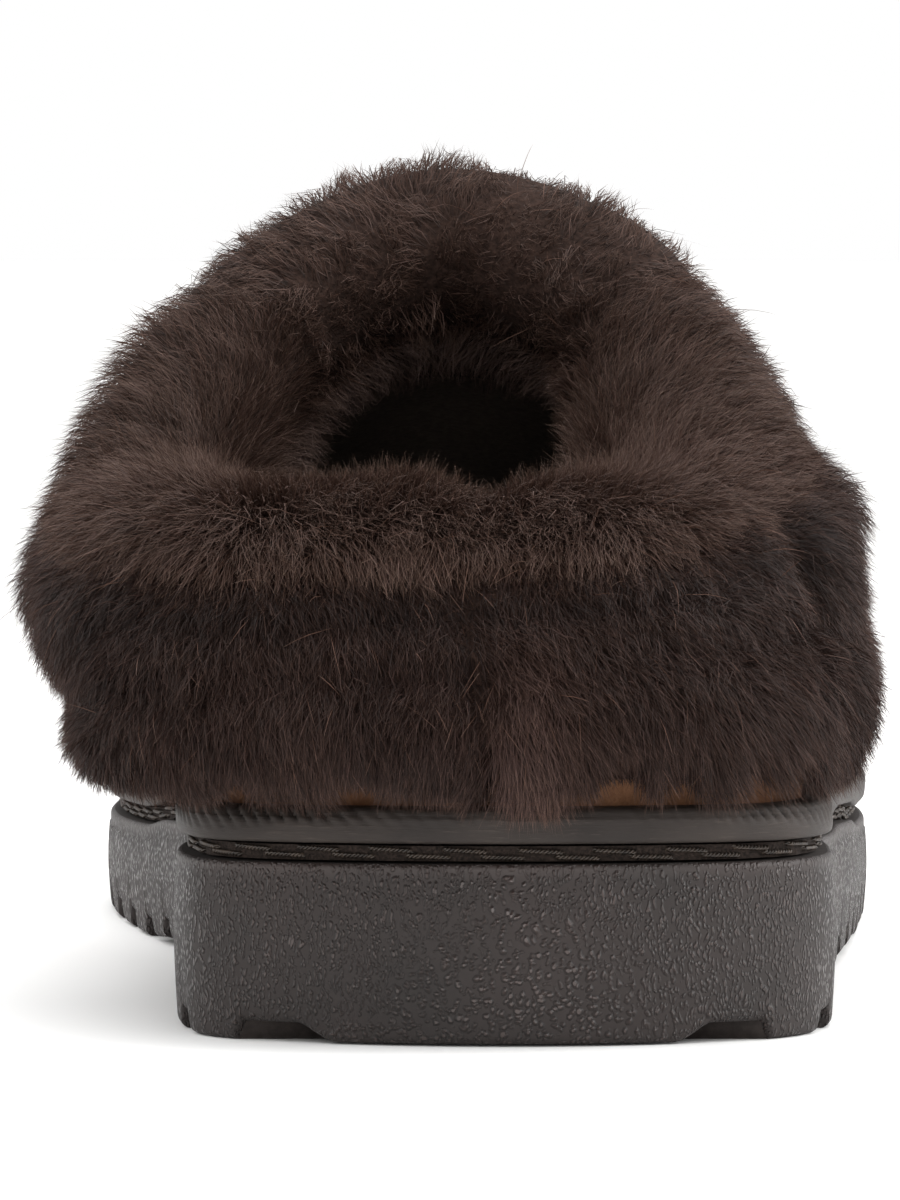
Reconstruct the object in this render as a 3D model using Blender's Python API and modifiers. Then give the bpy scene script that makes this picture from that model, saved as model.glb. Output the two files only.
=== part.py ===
"""Right-foot platform slipper with a deep fur collar, seen in the row frame.

Metres, +Z up, +Y from heel to toe, +X towards the little toe. The origin is on
the floor under the middle of the heel. Run it with
    blender --background --python part.py
or from the text editor.
"""

import math

import bmesh
import bpy
import numpy as np

# Length and widths of the sole
LENGTH = 0.268
HEEL_WIDTH = 0.080
BALL_WIDTH = 0.105
HEEL_CENTRE = 0.040  # from the back of the heel to the origin

# Thickness of the sole, and what lifts it off the floor
HEEL_STACK = 0.0214
BALL_STACK = 0.0138
TOE_SPRING = 0.0105
ARCH_LIFT = 0.0010
HEEL_BEVEL = 0.0003
WALL_SWELL = 0.0004
EDGE_ROUND = 0.0012

# Where these begin and end, in shares of LENGTH from the back
STACK_THINS = (0.02, 0.72)
ARCH_RISES = (0.33, 0.39)
ARCH_FALLS = (0.48, 0.54)
TOE_RISES = 0.74
BEVEL_ENDS = 0.035

# Tread: grooves that run from side to side
LUG_PITCH = 0.0134
GROOVE_WIDTH = 0.0050
GROOVE_DEPTH = 0.0023
GROOVE_DRAFT = 0.0007

# Layers between the sole and the upper
SEAT_GAP = 0.0003  # between pieces that rest on each other
MIDSOLE = 0.0018
MIDSOLE_SETBACK = 0.0019  # leaves the stitched groove open
RAND_HEIGHT = 0.0043
RAND_WIDTH = 0.0038
RAND_GAP = 0.0005  # to the outside of the upper
INSOLE = 0.0075
INSOLE_ROUND = 0.0020
INSOLE_CLEARANCE = 0.0010  # to the inside of the upper

# Upper: suede with its backing, over the last
UPPER_WALL = 0.0025
OPENING_LENGTH = 0.113
OPENING_WIDTH = 0.069
OPENING_SETBACK = 0.011  # from the back of the sole to the top edge
BACK_HEIGHT = 0.0535
INSTEP_HEIGHT = 0.0930
INSTEP_LEAN = 0.0065  # the top edge sits this far towards the big toe
PUFF = 0.010

# Fur collar that hooks over the top edge
CUFF_WIDTH = 0.040
CUFF_GAP = 0.0005
PILE = 0.0126
PILE_LEAN = 0.12  # more pile on the big-toe side, less on the other
CREST = 0.0105
PILE_FULL = 0.35  # shares of the way down: where the pile is deepest, and where it tapers
HEM_TAPERS = 0.70
LINING_PILE = 0.0085
LINING_DEPTH = 0.0140
HEM = 0.0050
HEM_CLEARANCE = 0.0028  # over the rand
LOCK_RELIEF = 0.0046
LOCKS_AROUND = 19
LOCK_ROWS = 4
LOCK_PEAK = 0.8  # shares of a lock: where it is deepest, and where its tip ends
LOCK_TIP = 0.86
LOCK_NARROW = 0.7
LOCK_LOWEST = 0.6  # the shallowest lock, beside the deepest
SEAM_DEPTH = 0.0022  # where the two halves of the collar meet at the back
SEAM_WIDTH = 0.0050
FOLD_DEPTH = 0.0032  # where the heel's pile folds round to the little-toe side
FOLD_WIDTH = 0.0060
FOLD_RUN = 0.158  # share of the half outline from the back of the heel

# Rows of faces
AROUND = 76
SOLE_STATIONS = 42
MIDSOLE_STATIONS = 44
INSOLE_STATIONS = 38
END_STATION = 0.012  # turn of the first and last station
LINING_ROWS = 2
CUFF_ROWS = 4
BARE_ROWS = 5
BARE_SPACING = 1.4  # closer together low down
LINING_STEPS = (1.0, 0.68, 0.3)  # shares of LINING_DEPTH
CREST_TURNS = (150, 118, 86, 54, 22)  # degrees, from the lining over to the outside
CREST_LOCKS = 0.6  # the locks on the crest, beside those below

# Sole outline: shares of LENGTH, and of HEEL_WIDTH or BALL_WIDTH
HEEL_OUTLINE = (
    # at, medial, lateral
    (0.008, 0.210, 0.210),
    (0.026, 0.370, 0.362),
    (0.048, 0.455, 0.445),
    (0.080, 0.488, 0.488),
    (0.140, 0.502, 0.500),
    (0.250, 0.492, 0.505),
    (0.350, 0.487, 0.538),
)
BALL_OUTLINE = (
    # at, medial, lateral
    (0.450, 0.411, 0.440),
    (0.570, 0.472, 0.465),
    (0.660, 0.507, 0.482),
    (0.730, 0.516, 0.479),
    (0.810, 0.496, 0.445),
    (0.885, 0.435, 0.368),
    (0.950, 0.333, 0.232),
    (0.985, 0.222, 0.090),
)
TOE_TIP = -0.070  # share of BALL_WIDTH, towards the big toe

# Upper and collar, a row for each section from the back (0) to the toe (1).
# run: share of the half outline. along, medial, lateral, climb: where the top
# edge is, in shares of the opening and of its rise. rise, drop: how far the
# section leaves the sole and the edge upright, in shares of its height.
# reach: share of its width that the section keeps level at the edge. flare,
# swell: how far it stands out low and high, in shares of PUFF. cuff, pile: the
# collar's width and depth, in shares of CUFF_WIDTH and PILE.
COLUMNS = "run along medial lateral climb rise flare reach drop swell cuff pile".split()
SECTIONS = (
    (0.00, 0.000, 0.00, 0.00, 0.00, 0.34, 0.10, 0.20, 0.34, 0.25, 0.80, 1.00),
    (0.06, 0.018, 0.51, 0.38, 0.00, 0.34, 0.10, 0.20, 0.34, 0.25, 0.80, 1.00),
    (0.13, 0.110, 0.88, 0.70, 0.00, 0.33, 0.15, 0.20, 0.34, 0.35, 0.82, 1.00),
    (0.22, 0.300, 1.06, 0.87, 0.04, 0.30, 0.30, 0.20, 0.35, 0.60, 0.92, 1.02),
    (0.33, 0.540, 1.09, 0.84, 0.19, 0.30, 0.35, 0.20, 0.36, 0.70, 1.05, 1.02),
    (0.45, 0.752, 0.95, 0.80, 0.47, 0.32, 0.30, 0.30, 0.36, 0.60, 1.12, 0.98),
    (0.60, 0.894, 0.64, 0.65, 0.765, 0.42, 0.25, 0.43, 0.36, 0.40, 1.02, 0.92),
    (0.80, 0.973, 0.31, 0.33, 0.94, 0.47, 0.35, 0.48, 0.38, 0.10, 0.94, 0.86),
    (1.00, 1.000, 0.00, 0.00, 1.00, 0.50, 0.35, 0.50, 0.40, 0.00, 0.92, 0.84),
)


def smooth_loop(keys, steps):
    """Points of a closed curve through the keys, with `steps` to each span."""
    keys = np.asarray(keys, float)
    after, later, before = np.roll(keys, -1, 0), np.roll(keys, -2, 0), np.roll(keys, 1, 0)
    gap = np.sqrt(np.linalg.norm(after - keys, axis=1))[:, None]
    gap_before, gap_after = np.roll(gap, 1, 0), np.roll(gap, -1, 0)
    leave = (keys - before) / gap_before - (after - before) / (gap_before + gap)
    leave = (leave + (after - keys) / gap) * gap
    arrive = (after - keys) / gap - (later - keys) / (gap + gap_after)
    arrive = (arrive + (later - after) / gap_after) * gap
    share = np.linspace(0, 1, steps, endpoint=False)[None, :, None]
    start, end = keys[:, None], after[:, None]
    curve = start + share * leave[:, None]
    curve = curve + share**2 * (3 * (end - start) - 2 * leave[:, None] - arrive[:, None])
    curve = curve + share**3 * (2 * (start - end) + leave[:, None] + arrive[:, None])
    return curve.reshape(-1, keys.shape[1])


def outline_halves():
    """The sole's edge as two curves from the back of the heel to the tip of the toe."""
    def keys(side):
        column = 2 if side > 0 else 1
        heel = [(side * row[column] * HEEL_WIDTH, row[0] * LENGTH) for row in HEEL_OUTLINE]
        ball = [(side * row[column] * BALL_WIDTH, row[0] * LENGTH) for row in BALL_OUTLINE]
        return heel + ball

    steps = 24
    loop = [(0.0, 0.0)] + keys(1) + [(TOE_TIP * BALL_WIDTH, LENGTH)] + keys(-1)[::-1]
    curve = smooth_loop(loop, steps) - (0.0, HEEL_CENTRE)
    toe = steps * (len(HEEL_OUTLINE) + len(BALL_OUTLINE) + 1)
    return {1: curve[: toe + 1], -1: np.vstack([curve[toe:], curve[:1]])[::-1]}


HALVES = outline_halves()


def edge_normals(side):
    """Unit normals of one half of the outline, pointing away from the sole."""
    along = np.gradient(HALVES[side], axis=0)
    along[0], along[-1] = (side, 0.0), (-side, 0.0)
    along /= np.linalg.norm(along, axis=1)[:, None]
    return side * np.stack([along[:, 1], -along[:, 0]], axis=1)


NORMALS = {side: edge_normals(side) for side in (1, -1)}


def edge_at(run, side, inset=0.0):
    """Points and normals of the outline at shares of its half's length."""
    curve, normals = HALVES[side], NORMALS[side]
    steps = np.linalg.norm(np.diff(curve, axis=0), axis=1)
    travelled = np.concatenate([[0.0], np.cumsum(steps)])
    travelled /= travelled[-1]
    normal = np.stack([np.interp(run, travelled, n) for n in normals.T], axis=-1)
    normal /= np.linalg.norm(normal, axis=-1)[..., None]
    point = np.stack([np.interp(run, travelled, p) for p in curve.T], axis=-1)
    return point - inset * normal, normal


def edge_across(y, side):
    """Points and normals of the outline at places along the shoe."""
    curve, normals = HALVES[side], NORMALS[side]
    rising = np.maximum.accumulate(curve[:, 1]) + 1e-9 * np.arange(len(curve))
    index = np.interp(y, rising, np.arange(len(curve)))
    places = np.arange(len(curve))
    point = np.stack([np.interp(index, places, p) for p in curve.T], axis=-1)
    normal = np.stack([np.interp(index, places, n) for n in normals.T], axis=-1)
    return point, normal / np.linalg.norm(normal, axis=-1)[..., None]


def ease(value, start, end):
    share = np.clip((value - start) / (end - start), 0.0, 1.0)
    return share * share * (3 - 2 * share)


def from_back(y):
    """Share of the sole's length behind this place."""
    return (np.asarray(y) + HEEL_CENTRE) / LENGTH


def ground(y):
    """Height of the sole's underside without its grooves."""
    at = from_back(y)
    toe = TOE_SPRING * np.clip((at - TOE_RISES) / (1 - TOE_RISES), 0, None) ** 2
    arch = ARCH_LIFT * ease(at, *ARCH_RISES) * (1 - ease(at, *ARCH_FALLS))
    heel = HEEL_BEVEL * np.clip(1 - at / BEVEL_ENDS, 0, None)
    return toe + arch + heel


def deck(y):
    """Height of the sole's top face."""
    return ground(y) + HEEL_STACK + (BALL_STACK - HEEL_STACK) * ease(from_back(y), *STACK_THINS)


def half_way(y):
    return (ground(y) + deck(y)) / 2


def lasting(y):
    """Height at which upper, rand and insole stand on the midsole."""
    return deck(y) + MIDSOLE + 2 * SEAT_GAP


def grooves():
    """Middles of the tread grooves. A lug stays under the origin."""
    back, front = -HEEL_CENTRE, LENGTH - HEEL_CENTRE
    first = math.ceil(back / LUG_PITCH - 0.5) + 0.5
    middles = np.arange(first, front / LUG_PITCH, 1.0) * LUG_PITCH
    room = GROOVE_WIDTH
    return middles[(middles > back + room) & (middles < front - room)]


def groove_lift(y):
    """How far the tread is cut away at places along the shoe."""
    off = np.abs(np.asarray(y)[:, None] - grooves()[None, :]).min(axis=1)
    return GROOVE_DEPTH * np.clip((GROOVE_WIDTH / 2 - off) / GROOVE_DRAFT, 0.0, 1.0)


def stations(count, extra=()):
    """Places along the shoe, closer together at heel and toe."""
    share = 0.5 - 0.5 * np.cos(np.pi * np.linspace(END_STATION, 1 - END_STATION, count))
    places = np.sort(np.concatenate([share * LENGTH - HEEL_CENTRE, np.asarray(extra, float)]))
    keep = np.concatenate([[True], np.diff(places) > 0.2 * GROOVE_DRAFT])
    return places[keep]


def new_object(name, points, faces, material):
    mesh = bpy.data.meshes.new(name)
    mesh.from_pydata([tuple(p) for p in points], [], faces)
    shape = bmesh.new()
    shape.from_mesh(mesh)
    bmesh.ops.recalc_face_normals(shape, faces=shape.faces)
    shape.to_mesh(mesh)
    shape.free()
    mesh.materials.append(material)
    mesh.shade_smooth()
    mesh.set_sharp_from_angle(angle=math.radians(40))
    part = bpy.data.objects.new(name, mesh)
    bpy.data.collections["platform_slipper"].objects.link(part)
    return part


def slab(name, places, levels, material):
    """A layer of the sole. Each level gives its inset from the outline, the face it follows and its lift."""
    columns = []
    for side in (1, -1):
        edge, normal = edge_across(places, side)
        rings = []
        for inset, face, lift in levels:
            point = edge - inset * normal
            rings.append(np.column_stack([point, face(point[:, 1]) + lift]))
        columns.append(np.stack(rings, axis=1))
    grid = np.stack(columns)
    sides, count, tall, _ = grid.shape
    index = np.arange(sides * count * tall).reshape(sides, count, tall)
    faces = []
    for j in range(count - 1):
        for k in range(tall - 1):
            for side in (0, 1):
                a, b = index[side, j], index[side, j + 1]
                faces.append([a[k], b[k], b[k + 1], a[k + 1]])
        for k in (0, tall - 1):
            near, far = index[:, j, k], index[:, j + 1, k]
            faces.append([near[0], near[1], far[1], far[0]])
    for j in (0, count - 1):
        for k in range(tall - 1):
            low, high = index[:, j, k], index[:, j, k + 1]
            faces.append([low[0], low[1], high[1], high[0]])
    faces = [[int(v) for v in face] for face in faces]
    return new_object(name, grid.reshape(-1, 3), faces, material)


def tube(name, grid, material, closed=True):
    """A solid or sheet that runs round the shoe: one section for each row of the grid."""
    around, tall, _ = grid.shape
    index = np.arange(around * tall).reshape(around, tall)
    faces = []
    for i in range(around):
        here, there = index[i], index[(i + 1) % around]
        for k in range(tall if closed else tall - 1):
            after = (k + 1) % tall
            faces.append([int(v) for v in (here[k], there[k], there[after], here[after])])
    return new_object(name, grid.reshape(-1, 3), faces, material)


def section_values(loop):
    """Every column of SECTIONS at places round the loop, from 0 at the back over 1 at the toe to 2."""
    rows = np.array(SECTIONS)
    outer, inner = rows.copy(), rows[-2:0:-1].copy()
    across = np.concatenate([outer[:, COLUMNS.index("lateral")], -inner[:, COLUMNS.index("medial")]])
    knots = np.concatenate([outer[:, 0], 2 - inner[:, 0]])
    table = np.vstack([outer, inner])
    table[:, COLUMNS.index("lateral")] = across
    knots = np.concatenate([knots[-2:] - 2, knots, knots[:3] + 2])
    table = np.vstack([table[-2:], table, table[:3]])
    step = np.diff(knots)[:, None]
    slope = np.diff(table, axis=0) / step
    tangent = (slope[1:] * step[:-1] + slope[:-1] * step[1:]) / (step[1:] + step[:-1])
    loop = np.asarray(loop, float) % 2
    span = np.clip(np.searchsorted(knots, loop, side="right") - 1, 1, len(knots) - 3)
    width = step[span]
    share = ((loop - knots[span]) / (knots[span + 1] - knots[span]))[:, None]
    start, end = table[span], table[span + 1]
    leave, arrive = tangent[span - 1] * width, tangent[span] * width
    value = start + share * leave
    value = value + share**2 * (3 * (end - start) - 2 * leave - arrive)
    value = value + share**3 * (2 * (start - end) + leave + arrive)
    return dict(zip(COLUMNS, value.T))


def loop_edge(loop, inset):
    """Points and normals of the outline at places round the loop."""
    point = np.empty((len(loop), 2))
    normal = np.empty((len(loop), 2))
    for side, chosen, run in ((1, loop <= 1, loop), (-1, loop > 1, 2 - loop)):
        point[chosen], normal[chosen] = edge_at(run[chosen], side, inset)
    return point, normal


def upper_sections(loop, heights):
    """Outer face of the upper: a Bezier section for each place, from the sole (0) to the top edge (1)."""
    values = section_values(loop)
    low, outward = loop_edge(loop, RAND_WIDTH + SEAT_GAP)
    foot = np.column_stack([low, lasting(low[:, 1])])
    top = np.column_stack([
        values["lateral"] * OPENING_WIDTH / 2 - INSTEP_LEAN,
        values["along"] * OPENING_LENGTH + OPENING_SETBACK - HEEL_CENTRE,
        BACK_HEIGHT + values["climb"] * (INSTEP_HEIGHT - BACK_HEIGHT),
    ])
    tall = top[:, 2] - foot[:, 2]
    level = np.column_stack([outward, np.zeros(len(loop))])
    up = np.array([0.0, 0.0, 1.0])
    across = (foot - top) * (1, 1, 0)
    low_handle = foot + level * (values["flare"] * PUFF)[:, None] + up * (values["rise"] * tall)[:, None]
    high_handle = top + across * values["reach"][:, None] + level * (values["swell"] * PUFF)[:, None]
    high_handle = high_handle - up * (values["drop"] * tall)[:, None]
    share = np.asarray(heights, float)[..., None]
    if share.ndim == 2:
        share = share[None]
    corners = [corner[:, None] for corner in (foot, low_handle, high_handle, top)]
    weights = ((1 - share) ** 3, 3 * (1 - share) ** 2 * share, 3 * (1 - share) * share**2, share**3)
    return sum(weight * corner for weight, corner in zip(weights, corners))


def upper_face(loop, heights):
    """Points of the upper's outer face, its outward normals, and its direction towards the top edge."""
    heights = np.broadcast_to(heights, (len(loop), np.shape(heights)[-1]))
    small = 1e-4
    point = upper_sections(loop, heights)
    round_ = upper_sections((loop + small) % 2, heights) - upper_sections((loop - small) % 2, heights)
    rising = upper_sections(loop, heights + small) - upper_sections(loop, heights - small)
    normal = np.cross(round_, rising)
    normal /= np.linalg.norm(normal, axis=-1)[..., None]
    rising /= np.linalg.norm(rising, axis=-1)[..., None]
    return point, normal, rising


def below_edge(loop, distance):
    """The section heights that lie these distances below the top edge, measured over the upper."""
    heights, travelled, _ = edge_travel(loop)
    return np.stack([np.interp(d, t, heights) for d, t in zip(distance, travelled)])


def edge_travel(loop):
    """Heights of fine steps down the upper from its top edge, how far each has gone, and where it is."""
    heights = np.linspace(1.0, 0.0, 81)
    curve = upper_sections(loop, heights)
    steps = np.linalg.norm(np.diff(curve, axis=1), axis=-1)
    travelled = np.concatenate([np.zeros((len(loop), 1)), np.cumsum(steps, axis=1)], axis=1)
    return heights, travelled, curve


def cuff_reach(loop):
    """How far down the upper the collar lies: its own width, or as far as the rand allows."""
    _, travelled, curve = edge_travel(loop)
    clear = lasting(curve[..., 1]) + RAND_HEIGHT + HEM_CLEARANCE
    room = np.where(curve[..., 2] >= clear, travelled, 0.0).max(axis=1)
    return np.minimum(section_values(loop)["cuff"] * CUFF_WIDTH, room)


def upper_rows(loop):
    """Section heights of the upper's rows: below the collar, under it, and beside its lining."""
    reach = cuff_reach(loop)[:, None]
    lining = np.linspace(0.0, LINING_DEPTH, LINING_ROWS + 1)[None, :] + 0 * reach
    spread = np.linspace(0.0, 1.0, CUFF_ROWS + 1)[None, 1:]
    covered = LINING_DEPTH + (reach - LINING_DEPTH) * spread
    hem_up = below_edge(loop, np.concatenate([lining, covered], axis=1))
    low = hem_up[:, -1:] * (np.linspace(1.0, 0.0, BARE_ROWS + 1) ** BARE_SPACING)[None, 1:]
    return np.concatenate([hem_up, low], axis=1)[:, ::-1]


def lock_height(loop, row):
    """0 between locks to 1 on a lock's tip. Rows overlap like shingles, and each lock has its own height."""
    which = np.floor(row)
    along = row - which
    cell = loop / 2 * LOCKS_AROUND + 0.5 * (which % 2)
    number = np.floor(cell) % LOCKS_AROUND
    own = 0.5 + 0.5 * np.sin(number * 12.9898 + which * 78.233)
    climb = np.clip(along / LOCK_PEAK, 0, 1) * (1 - 0.9 * ease(along, LOCK_TIP, 1.0))
    width = np.abs(np.sin(np.pi * (cell - np.floor(cell)))) ** LOCK_NARROW
    return climb * width * (LOCK_LOWEST + (1 - LOCK_LOWEST) * own)


def fur_depth(loop, share):
    """Depth of the collar's pile over the upper, from the crest (0) to the hem (1)."""
    lean = 1 - PILE_LEAN * np.sin(np.pi * loop)
    pile = (section_values(loop)["pile"] * lean)[:, None] * PILE
    share = share[None, :]
    swell = CREST + (pile - CREST) * ease(share, 0.0, PILE_FULL)
    taper = HEM + (swell - HEM) * (1 - ease(share, HEM_TAPERS, 1.0) ** 1.5)
    lock = lock_height(loop[:, None], share * LOCK_ROWS)
    valleys = LOCK_RELIEF * (1 - lock) * np.minimum(1, taper / PILE)
    return np.maximum(taper - valleys - parting(loop)[:, None], HEM / 2)


def parting(loop):
    """Depth of the centre-back seam and of the fold at the corner of the heel."""
    half = np.linalg.norm(np.diff(HALVES[1], axis=0), axis=1).sum()
    seam = np.minimum(loop, 2 - loop) * half / SEAM_WIDTH
    fold = (loop - FOLD_RUN) * half / FOLD_WIDTH
    return SEAM_DEPTH * np.exp(-(seam**2)) + FOLD_DEPTH * np.exp(-(fold**2))


def make_sole(material):
    edges = [
        middle + side * (GROOVE_WIDTH / 2 - inner)
        for middle in grooves()
        for side in (-1, 1)
        for inner in (0.0, GROOVE_DRAFT)
    ]
    y = stations(SOLE_STATIONS, edges)
    cut = groove_lift(y)
    levels = (
        (EDGE_ROUND, ground, cut),
        (0.0, ground, cut + EDGE_ROUND),
        (-WALL_SWELL, half_way, cut / 2),
        (0.0, deck, -EDGE_ROUND),
        (EDGE_ROUND, deck, 0.0),
    )
    return slab("sole", y, levels, material)


def make_midsole(material):
    y = stations(MIDSOLE_STATIONS)
    levels = (
        (MIDSOLE_SETBACK, deck, SEAT_GAP),
        (MIDSOLE_SETBACK, deck, SEAT_GAP + MIDSOLE),
    )
    return slab("midsole", y, levels, material)


def make_insole(material):
    y = stations(INSOLE_STATIONS)
    inset = RAND_WIDTH + SEAT_GAP + UPPER_WALL + INSOLE_CLEARANCE
    levels = (
        (inset, lasting, 0.0),
        (inset, lasting, INSOLE - INSOLE_ROUND),
        (inset + 0.3 * INSOLE_ROUND, lasting, INSOLE - 0.3 * INSOLE_ROUND),
        (inset + INSOLE_ROUND, lasting, INSOLE),
    )
    return slab("insole", y, levels, material)


def make_rand(material):
    """The strip round the foot of the upper. Its inner face follows the upper."""
    loop = np.linspace(0, 2, AROUND, endpoint=False)
    outer, _ = loop_edge(loop, 0.0)
    low = lasting(outer[:, 1])
    heights = np.linspace(0, 0.5, 60)
    curve = upper_sections(loop, heights)
    level = np.array([
        np.interp(z + RAND_HEIGHT, points[:, 2], heights) for z, points in zip(low, curve)
    ])
    foot, top = [], []
    for i in range(len(loop)):
        point, out, _ = upper_face(loop[i : i + 1], np.array([[0.0, level[i]]]))
        shift = out[0] * (1, 1, 0)
        shift /= np.linalg.norm(shift, axis=1)[:, None]
        foot.append(point[0, 0] + RAND_GAP * shift[0])
        top.append(point[0, 1] + RAND_GAP * shift[1])
    foot, top = np.array(foot), np.array(top)
    foot[:, 2], top[:, 2] = low, low + RAND_HEIGHT

    def ring(inset, lift):
        point, _ = loop_edge(loop, inset)
        return np.column_stack([point, low + lift])

    grid = np.stack([
        foot,
        ring(EDGE_ROUND / 2, 0.0),
        ring(0.0, EDGE_ROUND),
        ring(0.0, RAND_HEIGHT - EDGE_ROUND),
        ring(EDGE_ROUND, RAND_HEIGHT),
        top,
    ], axis=1)
    return tube("rand", grid, material)


def make_upper(material):
    """Vamp and quarters as one shell, open at the foot opening and over the sole."""
    loop = np.linspace(0, 2, AROUND, endpoint=False)
    part = tube("upper", upper_sections(loop, upper_rows(loop)), material, closed=False)
    wall = part.modifiers.new("wall", "SOLIDIFY")
    wall.thickness = UPPER_WALL
    wall.offset = -1
    wall.use_even_offset = True
    return part


def make_collar(material):
    """Fur cuff: its slot takes the upper's top edge, and its outer face is raised in locks."""
    loop = np.linspace(0, 2, AROUND, endpoint=False)
    reach = cuff_reach(loop)[:, None]
    rows = upper_rows(loop)[:, BARE_ROWS:]
    outside, normal, rising = upper_face(loop, rows)
    slot = outside + CUFF_GAP * normal
    edge, out, up = outside[:, -1:], normal[:, -1:], rising[:, -1:]
    slot_top = np.concatenate(
        [slot[:, -1:] + CUFF_GAP * up, edge - (UPPER_WALL + CUFF_GAP) * out + CUFF_GAP * up], axis=1
    )
    beside = rows[:, ::-1][:, : LINING_ROWS + 1]
    inner, inward, _ = upper_face(loop, beside)
    slot_inner = inner - (UPPER_WALL + CUFF_GAP) * inward
    lining_depths = np.array(LINING_STEPS) * LINING_DEPTH
    lining, inward, _ = upper_face(loop, below_edge(loop, lining_depths[None] + 0 * reach))
    thick = np.array([HEM, 0.8 * LINING_PILE, LINING_PILE])
    lining = lining - inward * (UPPER_WALL + CUFF_GAP + thick)[None, :, None]
    middle = edge - out * UPPER_WALL / 2
    turns = np.radians(CREST_TURNS)
    across = UPPER_WALL / 2 + np.where(turns > np.pi / 2, LINING_PILE, CREST)
    lock = lock_height(loop[:, None], 2 * turns[None, :] / np.pi)
    depth = 1 - LOCK_RELIEF / CREST * (1 - lock) * CREST_LOCKS
    crest = middle + out * (np.cos(turns) * across * depth)[..., None]
    crest = crest + up * (np.sin(turns) * CREST * depth)[..., None]
    count = 3 * LOCK_ROWS
    shares = (np.arange(count) + 0.55) / (count - 0.45)
    outer, normal, _ = upper_face(loop, below_edge(loop, reach * shares))
    outer = outer + normal * fur_depth(loop, shares)[..., None]
    grid = np.concatenate([slot, slot_top, slot_inner[:, 1:], lining, crest, outer], axis=1)
    return tube("collar", grid, material)


def material(name, colour, roughness):
    made = bpy.data.materials.new(name)
    made.use_nodes = True
    shader = made.node_tree.nodes["Principled BSDF"]
    shader.inputs["Base Color"].default_value = (*colour, 1.0)
    shader.inputs["Roughness"].default_value = roughness
    shader.inputs["Metallic"].default_value = 0.0
    return made


def main():
    for old in list(bpy.data.objects):
        bpy.data.objects.remove(old)
    parts = bpy.data.collections.new("platform_slipper")
    bpy.context.scene.collection.children.link(parts)
    make_sole(material("moulded_foam", (0.060, 0.049, 0.045), 0.62))
    make_midsole(material("stitched_board", (0.024, 0.019, 0.016), 0.80))
    make_rand(material("suede_strip", (0.068, 0.054, 0.048), 0.85))
    make_insole(material("pile_footbed", (0.030, 0.021, 0.018), 0.95))
    make_upper(material("brown_suede", (0.110, 0.062, 0.042), 0.90))
    make_collar(material("deep_fur", (0.026, 0.017, 0.014), 0.92))


main()
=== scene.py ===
"""Right-foot scuff slipper with a deep fur collar: every surface as it is seen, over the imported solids.

Metres, +Z up, +Y from heel to toe, +X towards the little toe. Sizes and
sections are the solids' own, so each dressed piece sits where its solid sits.
"""

import math

import bmesh
import bpy
import numpy as np
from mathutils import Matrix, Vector
from mathutils.kdtree import KDTree


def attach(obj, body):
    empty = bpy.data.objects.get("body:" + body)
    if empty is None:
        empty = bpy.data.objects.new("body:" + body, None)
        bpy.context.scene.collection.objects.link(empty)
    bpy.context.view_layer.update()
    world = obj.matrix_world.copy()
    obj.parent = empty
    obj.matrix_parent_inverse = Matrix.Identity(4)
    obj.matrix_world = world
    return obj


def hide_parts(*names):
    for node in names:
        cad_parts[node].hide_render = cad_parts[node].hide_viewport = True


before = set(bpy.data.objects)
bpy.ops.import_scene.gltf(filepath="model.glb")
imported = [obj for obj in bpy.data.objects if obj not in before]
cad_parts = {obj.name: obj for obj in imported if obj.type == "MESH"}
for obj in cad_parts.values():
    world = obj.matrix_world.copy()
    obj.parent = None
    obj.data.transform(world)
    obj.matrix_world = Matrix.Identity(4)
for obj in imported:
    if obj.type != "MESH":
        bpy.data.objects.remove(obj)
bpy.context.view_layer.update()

# Length and widths of the sole
LENGTH = 0.268
HEEL_WIDTH = 0.080
BALL_WIDTH = 0.105
HEEL_CENTRE = 0.040  # from the back of the heel to the origin

# Thickness of the sole, and what lifts it off the floor
HEEL_STACK = 0.0214
BALL_STACK = 0.0138
TOE_SPRING = 0.0105
ARCH_LIFT = 0.0010
HEEL_BEVEL = 0.0003
WALL_SWELL = 0.0004
EDGE_ROUND = 0.0012

# Where these begin and end, in shares of LENGTH from the back
STACK_THINS = (0.02, 0.72)
ARCH_RISES = (0.33, 0.39)
ARCH_FALLS = (0.48, 0.54)
TOE_RISES = 0.74
BEVEL_ENDS = 0.035

# Tread: grooves that run from side to side
LUG_PITCH = 0.0134
GROOVE_WIDTH = 0.0050
GROOVE_DEPTH = 0.0023
GROOVE_DRAFT = 0.0007

# Layers between the sole and the upper
SEAT_GAP = 0.0003  # between pieces that rest on each other
MIDSOLE = 0.0018
MIDSOLE_SETBACK = 0.0019  # leaves the stitched groove open
RAND_HEIGHT = 0.0043
RAND_WIDTH = 0.0038
RAND_GAP = 0.0005  # to the outside of the upper
INSOLE_CLEARANCE = 0.0010  # to the inside of the upper

# Upper: suede with its backing, over the last
UPPER_WALL = 0.0025
OPENING_LENGTH = 0.113
OPENING_WIDTH = 0.069
OPENING_SETBACK = 0.011  # from the back of the sole to the top edge
BACK_HEIGHT = 0.0535
INSTEP_HEIGHT = 0.0930
INSTEP_LEAN = 0.0065  # the top edge sits this far towards the big toe
PUFF = 0.010

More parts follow.
